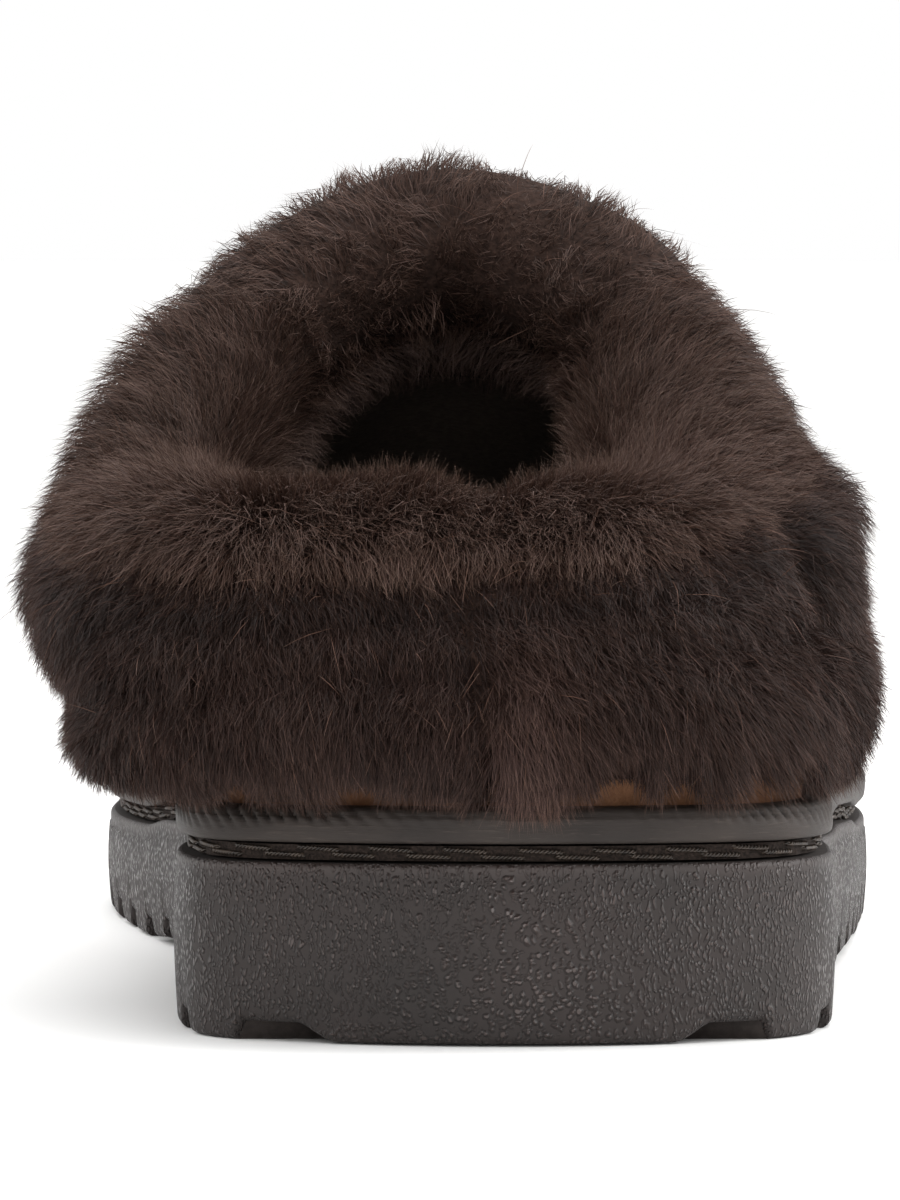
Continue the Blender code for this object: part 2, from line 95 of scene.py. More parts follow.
# Fur collar that hooks over the top edge
CUFF_WIDTH = 0.040
CUFF_GAP = 0.0005
PILE = 0.0126
PILE_LEAN = 0.12  # more pile on the big-toe side, less on the other
CREST = 0.0105
PILE_FULL = 0.35  # shares of the way down: where the pile is deepest, and where it tapers
HEM_TAPERS = 0.70
LINING_DEPTH = 0.0140
HEM = 0.0050
HEM_CLEARANCE = 0.0028  # over the rand
LOCK_RELIEF = 0.0046
LOCKS_AROUND = 19
LOCK_ROWS = 4
LOCK_PEAK = 0.8  # shares of a lock: where it is deepest, and where its tip ends
LOCK_TIP = 0.86
LOCK_NARROW = 0.7
LOCK_LOWEST = 0.6  # the shallowest lock, beside the deepest
SEAM_DEPTH = 0.0022  # where the two halves of the collar meet at the back
SEAM_WIDTH = 0.0050
FOLD_DEPTH = 0.0032  # where the heel's pile folds round to the little-toe side
FOLD_WIDTH = 0.0060
FOLD_RUN = 0.158  # share of the half outline from the back of the heel


# Sole outline: shares of LENGTH, and of HEEL_WIDTH or BALL_WIDTH
HEEL_OUTLINE = (
    # at, medial, lateral
    (0.008, 0.210, 0.210),
    (0.026, 0.370, 0.362),
    (0.048, 0.455, 0.445),
    (0.080, 0.488, 0.488),
    (0.140, 0.502, 0.500),
    (0.250, 0.492, 0.505),
    (0.350, 0.487, 0.538),
)
BALL_OUTLINE = (
    # at, medial, lateral
    (0.450, 0.411, 0.440),
    (0.570, 0.472, 0.465),
    (0.660, 0.507, 0.482),
    (0.730, 0.516, 0.479),
    (0.810, 0.496, 0.445),
    (0.885, 0.435, 0.368),
    (0.950, 0.333, 0.232),
    (0.985, 0.222, 0.090),
)
TOE_TIP = -0.070  # share of BALL_WIDTH, towards the big toe

# Upper and collar, a row for each section from the back (0) to the toe (1).
# run: share of the half outline. along, medial, lateral, climb: where the top
# edge is, in shares of the opening and of its rise. rise, drop: how far the
# section leaves the sole and the edge upright, in shares of its height.
# reach: share of its width that the section keeps level at the edge. flare,
# swell: how far it stands out low and high, in shares of PUFF. cuff, pile: the
# collar's width and depth, in shares of CUFF_WIDTH and PILE.
COLUMNS = "run along medial lateral climb rise flare reach drop swell cuff pile".split()
SECTIONS = (
    (0.00, 0.000, 0.00, 0.00, 0.00, 0.34, 0.10, 0.20, 0.34, 0.25, 0.80, 1.00),
    (0.06, 0.018, 0.51, 0.38, 0.00, 0.34, 0.10, 0.20, 0.34, 0.25, 0.80, 1.00),
    (0.13, 0.110, 0.88, 0.70, 0.00, 0.33, 0.15, 0.20, 0.34, 0.35, 0.82, 1.00),
    (0.22, 0.300, 1.06, 0.87, 0.04, 0.30, 0.30, 0.20, 0.35, 0.60, 0.92, 1.02),
    (0.33, 0.540, 1.09, 0.84, 0.19, 0.30, 0.35, 0.20, 0.36, 0.70, 1.05, 1.02),
    (0.45, 0.752, 0.95, 0.80, 0.47, 0.32, 0.30, 0.30, 0.36, 0.60, 1.12, 0.98),
    (0.60, 0.894, 0.64, 0.65, 0.765, 0.42, 0.25, 0.43, 0.36, 0.40, 1.02, 0.92),
    (0.80, 0.973, 0.31, 0.33, 0.94, 0.47, 0.35, 0.48, 0.38, 0.10, 0.94, 0.86),
    (1.00, 1.000, 0.00, 0.00, 1.00, 0.50, 0.35, 0.50, 0.40, 0.00, 0.92, 0.84),
)


def smooth_loop(keys, steps):
    """Points of a closed curve through the keys, with `steps` to each span."""
    keys = np.asarray(keys, float)
    after, later, before = np.roll(keys, -1, 0), np.roll(keys, -2, 0), np.roll(keys, 1, 0)
    gap = np.sqrt(np.linalg.norm(after - keys, axis=1))[:, None]
    gap_before, gap_after = np.roll(gap, 1, 0), np.roll(gap, -1, 0)
    leave = (keys - before) / gap_before - (after - before) / (gap_before + gap)
    leave = (leave + (after - keys) / gap) * gap
    arrive = (after - keys) / gap - (later - keys) / (gap + gap_after)
    arrive = (arrive + (later - after) / gap_after) * gap
    share = np.linspace(0, 1, steps, endpoint=False)[None, :, None]
    start, end = keys[:, None], after[:, None]
    curve = start + share * leave[:, None]
    curve = curve + share**2 * (3 * (end - start) - 2 * leave[:, None] - arrive[:, None])
    curve = curve + share**3 * (2 * (start - end) + leave[:, None] + arrive[:, None])
    return curve.reshape(-1, keys.shape[1])


def outline_halves():
    """The sole's edge as two curves from the back of the heel to the tip of the toe."""
    def keys(side):
        column = 2 if side > 0 else 1
        heel = [(side * row[column] * HEEL_WIDTH, row[0] * LENGTH) for row in HEEL_OUTLINE]
        ball = [(side * row[column] * BALL_WIDTH, row[0] * LENGTH) for row in BALL_OUTLINE]
        return heel + ball

    steps = 24
    loop = [(0.0, 0.0)] + keys(1) + [(TOE_TIP * BALL_WIDTH, LENGTH)] + keys(-1)[::-1]
    curve = smooth_loop(loop, steps) - (0.0, HEEL_CENTRE)
    toe = steps * (len(HEEL_OUTLINE) + len(BALL_OUTLINE) + 1)
    return {1: curve[: toe + 1], -1: np.vstack([curve[toe:], curve[:1]])[::-1]}


HALVES = outline_halves()


def edge_normals(side):
    """Unit normals of one half of the outline, pointing away from the sole."""
    along = np.gradient(HALVES[side], axis=0)
    along[0], along[-1] = (side, 0.0), (-side, 0.0)
    along /= np.linalg.norm(along, axis=1)[:, None]
    return side * np.stack([along[:, 1], -along[:, 0]], axis=1)


NORMALS = {side: edge_normals(side) for side in (1, -1)}


def edge_at(run, side, inset=0.0):
    """Points and normals of the outline at shares of its half's length."""
    curve, normals = HALVES[side], NORMALS[side]
    steps = np.linalg.norm(np.diff(curve, axis=0), axis=1)
    travelled = np.concatenate([[0.0], np.cumsum(steps)])
    travelled /= travelled[-1]
    normal = np.stack([np.interp(run, travelled, n) for n in normals.T], axis=-1)
    normal /= np.linalg.norm(normal, axis=-1)[..., None]
    point = np.stack([np.interp(run, travelled, p) for p in curve.T], axis=-1)
    return point - inset * normal, normal


def edge_across(y, side):
    """Points and normals of the outline at places along the shoe."""
    curve, normals = HALVES[side], NORMALS[side]
    rising = np.maximum.accumulate(curve[:, 1]) + 1e-9 * np.arange(len(curve))
    index = np.interp(y, rising, np.arange(len(curve)))
    places = np.arange(len(curve))
    point = np.stack([np.interp(index, places, p) for p in curve.T], axis=-1)
    normal = np.stack([np.interp(index, places, n) for n in normals.T], axis=-1)
    return point, normal / np.linalg.norm(normal, axis=-1)[..., None]


def ease(value, start, end):
    share = np.clip((value - start) / (end - start), 0.0, 1.0)
    return share * share * (3 - 2 * share)


def hump(value, middle, half):
    """1 at the middle, and fading out smoothly over this distance on either side."""
    return np.exp(-(((value - middle) / half) ** 2))


def from_back(y):
    """Share of the sole's length behind this place."""
    return (np.asarray(y) + HEEL_CENTRE) / LENGTH


def ground(y):
    """Height of the sole's underside without its grooves."""
    at = from_back(y)
    toe = TOE_SPRING * np.clip((at - TOE_RISES) / (1 - TOE_RISES), 0, None) ** 2
    arch = ARCH_LIFT * ease(at, *ARCH_RISES) * (1 - ease(at, *ARCH_FALLS))
    heel = HEEL_BEVEL * np.clip(1 - at / BEVEL_ENDS, 0, None)
    return toe + arch + heel


def deck(y):
    """Height of the sole's top face."""
    return ground(y) + HEEL_STACK + (BALL_STACK - HEEL_STACK) * ease(from_back(y), *STACK_THINS)


def lasting(y):
    """Height at which upper, rand and insole stand on the midsole."""
    return deck(y) + MIDSOLE + 2 * SEAT_GAP


def grooves():
    """Middles of the tread grooves. A lug stays under the origin."""
    back, front = -HEEL_CENTRE, LENGTH - HEEL_CENTRE
    first = math.ceil(back / LUG_PITCH - 0.5) + 0.5
    middles = np.arange(first, front / LUG_PITCH, 1.0) * LUG_PITCH
    room = GROOVE_WIDTH
    return middles[(middles > back + room) & (middles < front - room)]


def section_values(loop):
    """Every column of SECTIONS at places round the loop, from 0 at the back over 1 at the toe to 2."""
    rows = np.array(SECTIONS)
    outer, inner = rows.copy(), rows[-2:0:-1].copy()
    across = np.concatenate([outer[:, COLUMNS.index("lateral")], -inner[:, COLUMNS.index("medial")]])
    knots = np.concatenate([outer[:, 0], 2 - inner[:, 0]])
    table = np.vstack([outer, inner])
    table[:, COLUMNS.index("lateral")] = across
    knots = np.concatenate([knots[-2:] - 2, knots, knots[:3] + 2])
    table = np.vstack([table[-2:], table, table[:3]])
    step = np.diff(knots)[:, None]
    slope = np.diff(table, axis=0) / step
    tangent = (slope[1:] * step[:-1] + slope[:-1] * step[1:]) / (step[1:] + step[:-1])
    loop = np.asarray(loop, float) % 2
    span = np.clip(np.searchsorted(knots, loop, side="right") - 1, 1, len(knots) - 3)
    width = step[span]
    share = ((loop - knots[span]) / (knots[span + 1] - knots[span]))[:, None]
    start, end = table[span], table[span + 1]
    leave, arrive = tangent[span - 1] * width, tangent[span] * width
    value = start + share * leave
    value = value + share**2 * (3 * (end - start) - 2 * leave - arrive)
    value = value + share**3 * (2 * (start - end) + leave + arrive)
    return dict(zip(COLUMNS, value.T))


def loop_edge(loop, inset):
    """Points and normals of the outline at places round the loop."""
    point = np.empty((len(loop), 2))
    normal = np.empty((len(loop), 2))
    for side, chosen, run in ((1, loop <= 1, loop), (-1, loop > 1, 2 - loop)):
        point[chosen], normal[chosen] = edge_at(run[chosen], side, inset)
    return point, normal


def upper_sections(loop, heights):
    """Outer face of the upper: a Bezier section for each place, from the sole (0) to the top edge (1)."""
    values = section_values(loop)
    low, outward = loop_edge(loop, RAND_WIDTH + SEAT_GAP)
    foot = np.column_stack([low, lasting(low[:, 1])])
    top = np.column_stack([
        values["lateral"] * OPENING_WIDTH / 2 - INSTEP_LEAN,
        values["along"] * OPENING_LENGTH + OPENING_SETBACK - HEEL_CENTRE,
        BACK_HEIGHT + values["climb"] * (INSTEP_HEIGHT - BACK_HEIGHT),
    ])
    tall = top[:, 2] - foot[:, 2]
    level = np.column_stack([outward, np.zeros(len(loop))])
    up = np.array([0.0, 0.0, 1.0])
    across = (foot - top) * (1, 1, 0)
    low_handle = foot + level * (values["flare"] * PUFF)[:, None] + up * (values["rise"] * tall)[:, None]
    high_handle = top + across * values["reach"][:, None] + level * (values["swell"] * PUFF)[:, None]
    high_handle = high_handle - up * (values["drop"] * tall)[:, None]
    share = np.asarray(heights, float)[..., None]
    if share.ndim == 2:
        share = share[None]
    corners = [corner[:, None] for corner in (foot, low_handle, high_handle, top)]
    weights = ((1 - share) ** 3, 3 * (1 - share) ** 2 * share, 3 * (1 - share) * share**2, share**3)
    return sum(weight * corner for weight, corner in zip(weights, corners))


def upper_face(loop, heights):
    """Points of the upper's outer face, its outward normals, and its direction towards the top edge."""
    heights = np.broadcast_to(heights, (len(loop), np.shape(heights)[-1]))
    small = 1e-4
    point = upper_sections(loop, heights)
    round_ = upper_sections((loop + small) % 2, heights) - upper_sections((loop - small) % 2, heights)
    rising = upper_sections(loop, heights + small) - upper_sections(loop, heights - small)
    normal = np.cross(round_, rising)
    normal /= np.linalg.norm(normal, axis=-1)[..., None]
    rising /= np.linalg.norm(rising, axis=-1)[..., None]
    return point, normal, rising


def below_edge(loop, distance):
    """The section heights that lie these distances below the top edge, measured over the upper."""
    heights, travelled, _ = edge_travel(loop)
    return np.stack([np.interp(d, t, heights) for d, t in zip(distance, travelled)])


def edge_travel(loop):
    """Heights of fine steps down the upper from its top edge, how far each has gone, and where it is."""
    heights = np.linspace(1.0, 0.0, 81)
    curve = upper_sections(loop, heights)
    steps = np.linalg.norm(np.diff(curve, axis=1), axis=-1)
    travelled = np.concatenate([np.zeros((len(loop), 1)), np.cumsum(steps, axis=1)], axis=1)
    return heights, travelled, curve


def cuff_reach(loop):
    """How far down the upper the collar lies: its own width, or as far as the rand allows."""
    _, travelled, curve = edge_travel(loop)
    clear = lasting(curve[..., 1]) + RAND_HEIGHT + HEM_CLEARANCE
    room = np.where(curve[..., 2] >= clear, travelled, 0.0).max(axis=1)
    return np.minimum(section_values(loop)["cuff"] * CUFF_WIDTH, room)


def lock_height(loop, row):
    """0 between locks to 1 on a lock's tip. Rows overlap like shingles, and each lock has its own height."""
    which = np.floor(row)
    along = row - which
    cell = loop / 2 * LOCKS_AROUND + 0.5 * (which % 2)
    number = np.floor(cell) % LOCKS_AROUND
    own = 0.5 + 0.5 * np.sin(number * 12.9898 + which * 78.233)
    climb = np.clip(along / LOCK_PEAK, 0, 1) * (1 - 0.9 * ease(along, LOCK_TIP, 1.0))
    width = np.abs(np.sin(np.pi * (cell - np.floor(cell)))) ** LOCK_NARROW
    return climb * width * (LOCK_LOWEST + (1 - LOCK_LOWEST) * own)


def fur_depth(loop, share, relief=1.0):
    """Depth of the collar's pile over the upper, from the crest (0) to the hem (1)."""
    lean = 1 - PILE_LEAN * np.sin(np.pi * loop)
    pile = (section_values(loop)["pile"] * lean)[:, None] * PILE
    share = share[None, :]
    swell = CREST + (pile - CREST) * ease(share, 0.0, PILE_FULL)
    taper = HEM + (swell - HEM) * (1 - ease(share, HEM_TAPERS, 1.0) ** 1.5)
    lock = lock_height(loop[:, None], share * LOCK_ROWS)
    valleys = relief * LOCK_RELIEF * (1 - lock) * np.minimum(1, taper / PILE)
    split = (0.3 + 0.7 * relief) * parting(loop)[:, None]
    return np.maximum(taper - valleys - split, HEM / 2)


def parting(loop):
    """Depth of the centre-back seam and of the fold at the corner of the heel."""
    half = np.linalg.norm(np.diff(HALVES[1], axis=0), axis=1).sum()
    seam = np.minimum(loop, 2 - loop) * half / SEAM_WIDTH
    fold = (loop - FOLD_RUN) * half / FOLD_WIDTH
    return SEAM_DEPTH * np.exp(-(seam**2)) + FOLD_DEPTH * np.exp(-(fold**2))


# Fineness of the dressed surfaces
SOLE_STATIONS = 240
END_STATION = 0.002  # share of the half turn at which the first station lies
ROUND_STEPS = 5
RAND_STEPS = 700
RAND_CLOSER = 4.0  # how much closer the strip's steps lie at the heel
SHELL_STEPS = 200
SHELL_ROWS = 36
LOOP_STEPS = 304
PILE_IN_STEPS = 14
PILE_CREST_STEPS = 9
PILE_OUT_STEPS = 26
BACK_IN_STEPS = 12
BACK_OUT_STEPS = 14
SHARP_ANGLE = 50  # degrees

# Sole: rows of its wall, and the smooth band over its grain
WALL_ROWS = (0.1, 0.80, 9)  # the first and last in shares of the wall, and how many
SOLE_LIP = 0.0005
LIP_GRAIN = 0.35
GRAIN_FADE = 0.0014
LUG_RAMP = 0.0018

# Rand: rows of its face, where its steps open out, and its slight waviness
RAND_ROWS = (0.22, 0.7, 7)  # in shares of its height
RAND_OPENS = (0.070, 0.095)  # round from the back of the heel
RAND_SWELL = 0.0001
RAND_WAVE = 0.0002
RAND_WAVE_PITCH = 0.0085
RAND_WAVE_DRIFT = 0.031

# Gathers of the rand: from and to (distance round from the back of the heel), pitch, slant, depth
GATHERS = (
    (-0.066, -0.006, 0.0021, 2.3, 0.00085),
    (0.016, 0.068, 0.0018, 1.9, 0.00075),
    (-0.330, -0.235, 0.0046, 0.5, 0.00035),
    (0.225, 0.330, 0.0046, -0.5, 0.00035),
)
GATHER_WIDTH = 0.17  # share of the pitch
GATHER_WANDER = (0.35, 0.0047)  # share of the pitch, over this distance
GATHER_REACH = (0.15, 0.35, 0.75)  # where one begins, how much later the next may, where it is full
FOLD_FULL_SHADE = 0.0007  # depth of a gather that gets the darkest painted shade

# Welt seam: two-ply thread in the groove
STITCH_PITCH = 0.0046
STITCH_LENGTH = 0.0060
STITCH_WIDTH = 0.00062
STITCH_RISE = 0.00075
STITCH_SLANT = 0.00016
STITCH_UNEVEN = 0.0001
STITCH_SUNK = 0.0008
STITCH_SINKS = 0.78  # share of a stitch from its middle
STITCH_RINGS = 27
STITCH_SIDES = 4
PLY_WIDTH = 0.00036
PLY_TWIST = 0.00105
PLY_APART = 0.48  # from the thread's middle, in shares of PLY_WIDTH

# Creases of the vamp: along the shoe, across it, bow, half length, width, depth
CREASES = (
    (0.131, -0.010, -3.5, 0.034, 0.0042, 0.0011),
    (0.146, -0.002, -4.5, 0.038, 0.0048, 0.0013),
    (0.163, -0.014, -5.0, 0.030, 0.0040, 0.0008),
    (0.178, 0.006, -6.0, 0.022, 0.0036, 0.0006),
)
RIDGE_HEIGHT = 0.45  # beside a trough's depth
RIDGE_PLACE = 1.7  # from a trough's middle, in its widths
PUCKER_DEPTH = 0.00035
PUCKER_PITCH = 0.0105
PUCKER_FROM = (0.19, 0.24)  # round from the back of the heel

# Footbed
FOOTBED_PAD = 0.0058
FOOTBED_PILE = 0.0048
FOOTBED_HAIRS = 14000
FOOTBED_GRID = (150, 41)
FOOTBED_PILE_GRID = (90, 25)
FOOTBED_TUFT = 22  # hairs in each
FOOTBED_ROLL = 0.62  # share of the pad's thickness that its edge has lost
# Where the foot has pressed it: along the shoe, half length, half width, depth
FOOTBED_HOLLOWS = (
    (0.0, 0.030, 0.026, 0.0016),
    (0.125, 0.035, 0.034, 0.0012),
)

# Fur: where it is rooted, in shares of the solid collar's depth or in metres off the upper's inside
ROOT_SHARE = 1.0
ROOT_INNER = 0.0066
ROOT_LOW = 0.0006
ROOT_THINS = (0.7, 1.9)  # in shares of LINING_DEPTH
LINING_REACH = 0.046
CREST_FROM, CREST_TO = 172, 8  # degrees round the top edge
GROUND_COVER = (0.0001, 0.0005)  # the ground cloth over the roots, and more of it outside

# How the roll of fur differs from the plain solid on each side
PLUMP_BIG_TOE = 0.0014
PLUMP_LITTLE_TOE = 0.0044
FAR_SLIM_BIG_TOE = 0.0040
FAR_SLIM_LITTLE_TOE = 0.0026
UNDER_BIG_TOE = 0.0040
UNDER_LITTLE_TOE = 0.0010
TUCK_BIG_TOE = 0.0020
TUCK_LITTLE_TOE = 0.0018
FOLD_PLACE = 0.0530
FOLD_DEEPER = 0.0018
FOLD_RIDGE = 0.0009
CORNER_PLUMP = 0.0046
CORNER = (0.092, 0.034)  # its middle, round from the back of the heel, and its half width
TUFT_RELIEF = 0.35

# Hairs
HAIRS = 235000
FLYAWAYS = 2600
FUR_LENGTH = 0.0050
CREST_LENGTH = 0.0064
LINING_LENGTH = 0.0056
HAIR_WIDTH = 0.00012
STRAND_STEPS = np.array([0.0, 0.55, 1.0])
STRAND_TAPER = np.array([1.0, 0.8, 0.0])
GUARD_STEPS = np.array([0.0, 0.3, 0.6, 0.82, 1.0])
GUARD_TAPER = np.array([1.0, 0.95, 0.75, 0.45, 0.0])
HAIR_KINK = 0.00055
HANGS, HANGS_OUTSIDE = 0.10, 0.12  # share of its length that a hair sinks, and how much more outside
BENDS = 0.55  # share of its lift that it still has at the tip
LARGE_TUFT, SMALL_TUFT, CLINGING = 260, 70, 13  # hairs in each
MAP_WIDTH = 0.001  # half the width that a hair has on its map

# How steeply the hairs stand on their ground, in degrees
LIFT_CREST = 58
LIFT_OUTSIDE = 48
LIFT_INSIDE = 60
LIFT_INSTEP = 40
LIFT_UNDER_RIM = 22  # this much flatter there
LIFT_PATCHY = 9
LIFT_STRAY = 13
LIFT_RANGE = (8, 85)

# Pieces that the fur is made in: where each ends, on its place (see pile_backing) or round from the heel
LINING_ENDS = -0.12
CREST_ENDS = 0.06
HEEL_RIM = 0.045
HEEL_ENDS = 0.042
INSTEP_FROM = 0.150
# name, and which of the finishes it has: outside, inside, top edge
FUR_PIECES = (
    ("fur_heel", 0),
    ("fur_little_toe_side", 0),
    ("fur_big_toe_side", 0),
    ("fur_instep", 0),
    ("fur_crest", 2),
    ("fur_lining", 1),
    ("fur_heel_rim", 2),
)

GREY_PATCH = (0.0015, 0.036)  # across the heel, and its height
GREY_SIZE = (0.0055, 0.010)
# Top of the instep: across it, half width, change of the hairs' length
INSTEP_TUFTS = (
    (-0.0085, 0.0048, 0.35),
    (0.0010, 0.0060, -0.70),
    (0.0085, 0.0045, 0.10),
    (0.0175, 0.0060, -0.30),
)
# Back of the top edge: across the heel, half width, change of the hairs' length
HEEL_EDGE = (
    (-0.0026, 0.0040, -0.55),
    (-0.0125, 0.0060, 0.22),
    (0.0100, 0.0060, 0.20),
)
# Where the hem leaves the suede bare: from, to (across the heel), how much
HEM_WINDOWS = (
    (0.0100, 0.0156, 0.0050),
    (0.0190, 0.0214, 0.0040),
    (0.0266, 0.0298, 0.0044),
    (0.0320, 0.0348, 0.0042),
    (0.0222, 0.0252, -0.0012),
    (0.0302, 0.0316, -0.0012),
    (-0.0336, -0.0305, 0.0026),
    (-0.0210, -0.0145, 0.0022),
    (-0.0036, 0.0056, -0.0028),
)
WINDOW_EDGE = 0.0011

# Studio
FLOOR_RADIUS = 6.0
LIGHTS_AIM = (0.0, 0.06, 0.05)
SOFT_LIGHTS = (
    # name, place, size, watts
    ("soft_right", (0.75, 0.05, 0.42), (0.55, 0.7), 6.0),
    ("soft_left", (-0.80, 0.10, 0.45), (0.55, 0.7), 1.8),
    ("soft_front", (0.0, -1.35, 0.17), (0.3, 0.2), 1.7),
    ("soft_top", (0.0, 0.15, 0.95), (0.9, 0.7), 6.0),
)
OVERHEAD = 0.45  # strength of the soft sun straight above
OVERHEAD_ANGLE = 120  # degrees
EYE = (-0.0067, -1.074, 0.109)  # where the camera stands
EYE_DOWN = 3.095  # degrees below level
LENS = 263.0  # millimetres


def srgb(code):
    """Linear colour of an sRGB hex code."""
    channels = [int(code[i : i + 2], 16) / 255 for i in (1, 3, 5)]
    return [c / 12.92 if c <= 0.04045 else ((c + 0.055) / 1.055) ** 2.4 for c in channels] + [1.0]


def add(tree, kind, settings=None, links=None):
    """Adds a node of this kind with its own settings, and its sockets' values or the outputs they take."""
    made = tree.nodes.new("ShaderNode" + kind)
    for name, value in (settings or {}).items():
        if name == "stops":
            while len(made.color_ramp.elements) < len(value):
                made.color_ramp.elements.new(0.5)
            for stop, (place, colour) in zip(made.color_ramp.elements, value):
                stop.position = place
                stop.color = srgb(colour) if isinstance(colour, str) else [colour] * 3 + [1.0]
        else:
            setattr(made, name, value)
    for name, value in (links or {}).items():
        if isinstance(value, bpy.types.NodeSocket):
            tree.links.new(value, made.inputs[name])
        else:
            made.inputs[name].default_value = value
    return made


def new_material(name, **constants):
    """A Principled material: its tree, its shader and its object coordinates in millimetres."""
    made = bpy.data.materials.new(name)
    made.use_nodes = True
    shader = made.node_tree.nodes["Principled BSDF"]
    for socket, value in constants.items():
        shader.inputs[socket.replace("_", " ")].default_value = value
    where = add(made.node_tree, "TexCoord").outputs["Object"]
    in_mm = add(made.node_tree, "VectorMath", {"operation": "SCALE"}, {"Vector": where, "Scale": 1000.0})
    return made, made.node_tree, shader, in_mm.outputs["Vector"]


def feed(shader, **nodes):
    """Links each node's first output to the socket of the shader that it is named for."""
    for socket, node in nodes.items():
        node.id_data.links.new(node.outputs[0], shader.inputs[socket.replace("_", " ")])


def moulded_foam():
    """EVA foam from a mould etched with leather grain: satin pebbles, dull in the valleys between them, with
    painted light on their tops and painted shade in the valleys.
    """
    made, tree, shader, mm = new_material("moulded_foam", IOR=1.5, Specular_IOR_Level=0.55)
    wander = add(tree, "TexNoise", None, {"Vector": mm, "Scale": 0.35, "Detail": 2.0}).outputs["Color"]
    pull = add(tree, "VectorMath", {"operation": "SCALE"}, {"Vector": wander, "Scale": 1.6}).outputs["Vector"]
    # round pebbles 0.8 mm across low in the middle of the heel
    low = add(tree, "VectorMath", {"operation": "ADD"}, {0: mm, 1: pull}).outputs["Vector"]
    pebble = add(
        tree, "TexVoronoi", {"feature": "SMOOTH_F1"}, {"Vector": low, "Scale": 1.20, "Smoothness": 0.22}
    ).outputs["Distance"]
    # towards its corners they lean over, as streaks 0.5 mm wide
    lean = {"Vector": mm, "Rotation": (0.0, 0.45, 0.0), "Scale": (1.1, 1.0, 0.55)}
    leaning = add(tree, "Mapping", None, lean).outputs["Vector"]
    bent = add(
        tree, "MixRGB", {"blend_type": "ADD"}, {"Fac": 1.0, "Color1": leaning, "Color2": pull}
    ).outputs["Color"]
    streak = add(
        tree, "TexVoronoi", {"feature": "SMOOTH_F1"}, {"Vector": bent, "Scale": 2.00, "Smoothness": 0.22}
    ).outputs["Distance"]
    axes = add(tree, "SeparateXYZ", None, {"Vector": mm})
    aside = add(tree, "Math", {"operation": "ABSOLUTE"}, {0: axes.outputs["X"]}).outputs["Value"]
    higher = add(
        tree, "Math", {"operation": "MULTIPLY_ADD"}, {0: axes.outputs["Z"], 1: 1.1, 2: aside}
    ).outputs["Value"]
    mottle = add(tree, "TexNoise", None, {"Vector": mm, "Scale": 0.16, "Detail": 2.0}).outputs["Fac"]
    uneven = add(
        tree, "Math", {"operation": "MULTIPLY_ADD"}, {0: mottle, 1: 26.0, 2: higher}
    ).outputs["Value"]
    blend = add(
        tree, "MapRange", None, {"Value": uneven, "From Min": 28.0, "From Max": 44.0}
    ).outputs["Result"]
    grain = add(tree, "MixRGB", None, {"Fac": blend, "Color1": pebble, "Color2": streak}).outputs["Color"]
    etched = add(tree, "ValToRGB", {"stops": [(0.24, 1.0), (0.56, 0.0)]}, {"Fac": grain}).outputs["Color"]
    # the mould was left smooth under the upper edge
    share = add(tree, "Attribute", {"attribute_name": "grain"}).outputs["Fac"]
    top = add(
        tree, "MixRGB", None, {"Fac": share, "Color1": srgb("#b8b8b8"), "Color2": etched}
    ).outputs["Color"]
    worn = add(tree, "TexNoise", None, {"Vector": mm, "Scale": 0.06, "Detail": 4.0}).outputs["Fac"]
    tone = add(
        tree, "ValToRGB", {"stops": [(0.32, "#2c211d"), (0.68, "#3c2e2a")]}, {"Fac": worn}
    ).outputs["Color"]
    # painted light and shade: the pebbles' tops are drawn paler and the valleys between them darker
    grain_light_and_shade = add(
        tree, "MixRGB", {"blend_type": "MULTIPLY"}, {"Fac": 0.58, "Color1": tone, "Color2": top}
    ).outputs["Color"]
    dust = add(
        tree, "TexNoise", None, {"Vector": mm, "Scale": 2.2, "Detail": 3.0, "Roughness": 0.7}
    ).outputs["Fac"]
    dust = add(tree, "ValToRGB", {"stops": [(0.66, 0.0), (0.78, 0.35)]}, {"Fac": dust}).outputs["Color"]
    speck = add(tree, "MixRGB", None, {"Fac": dust, "Color1": grain_light_and_shade, "Color2": srgb("#544b47")})
    gloss = add(tree, "MapRange", None, {"Value": top, "To Min": 0.75, "To Max": 0.30})
    bump = add(tree, "Bump", None, {"Height": top, "Strength": 1.0, "Distance": 0.00080})
    feed(shader, Base_Color=speck, Roughness=gloss, Normal=bump)
    return made


def tread_foam():
    """The same foam where it is skived for the tread: flat, darker, dusty."""
    made, tree, shader, mm = new_material("tread_foam", Roughness=0.78, IOR=1.5, Specular_IOR_Level=0.3)
    grit = add(
        tree, "TexNoise", None, {"Vector": mm, "Scale": 0.8, "Detail": 5.0, "Roughness": 0.65}
    ).outputs["Fac"]
    tone = add(tree, "ValToRGB", {"stops": [(0.35, "#231e1c"), (0.7, "#3a3330")]}, {"Fac": grit})
    bump = add(tree, "Bump", None, {"Height": grit, "Strength": 0.4, "Distance": 0.0002})
    feed(shader, Base_Color=tone, Normal=bump)
    return made


def stitched_board():
    """Fibre board at the bottom of the stitched groove: nearly black, matt, with torn fibres."""
    made, tree, shader, mm = new_material("stitched_board", Roughness=0.9, Specular_IOR_Level=0.2)
    fibre = add(tree, "TexNoise", None, {"Vector": mm, "Scale": 3.0, "Detail": 6.0}).outputs["Fac"]
    tone = add(tree, "ValToRGB", {"stops": [(0.35, "#17120f"), (0.75, "#3a302b")]}, {"Fac": fibre})
    bump = add(tree, "Bump", None, {"Height": fibre, "Strength": 0.6, "Distance": 0.0003})
    feed(shader, Base_Color=tone, Normal=bump)
    return made


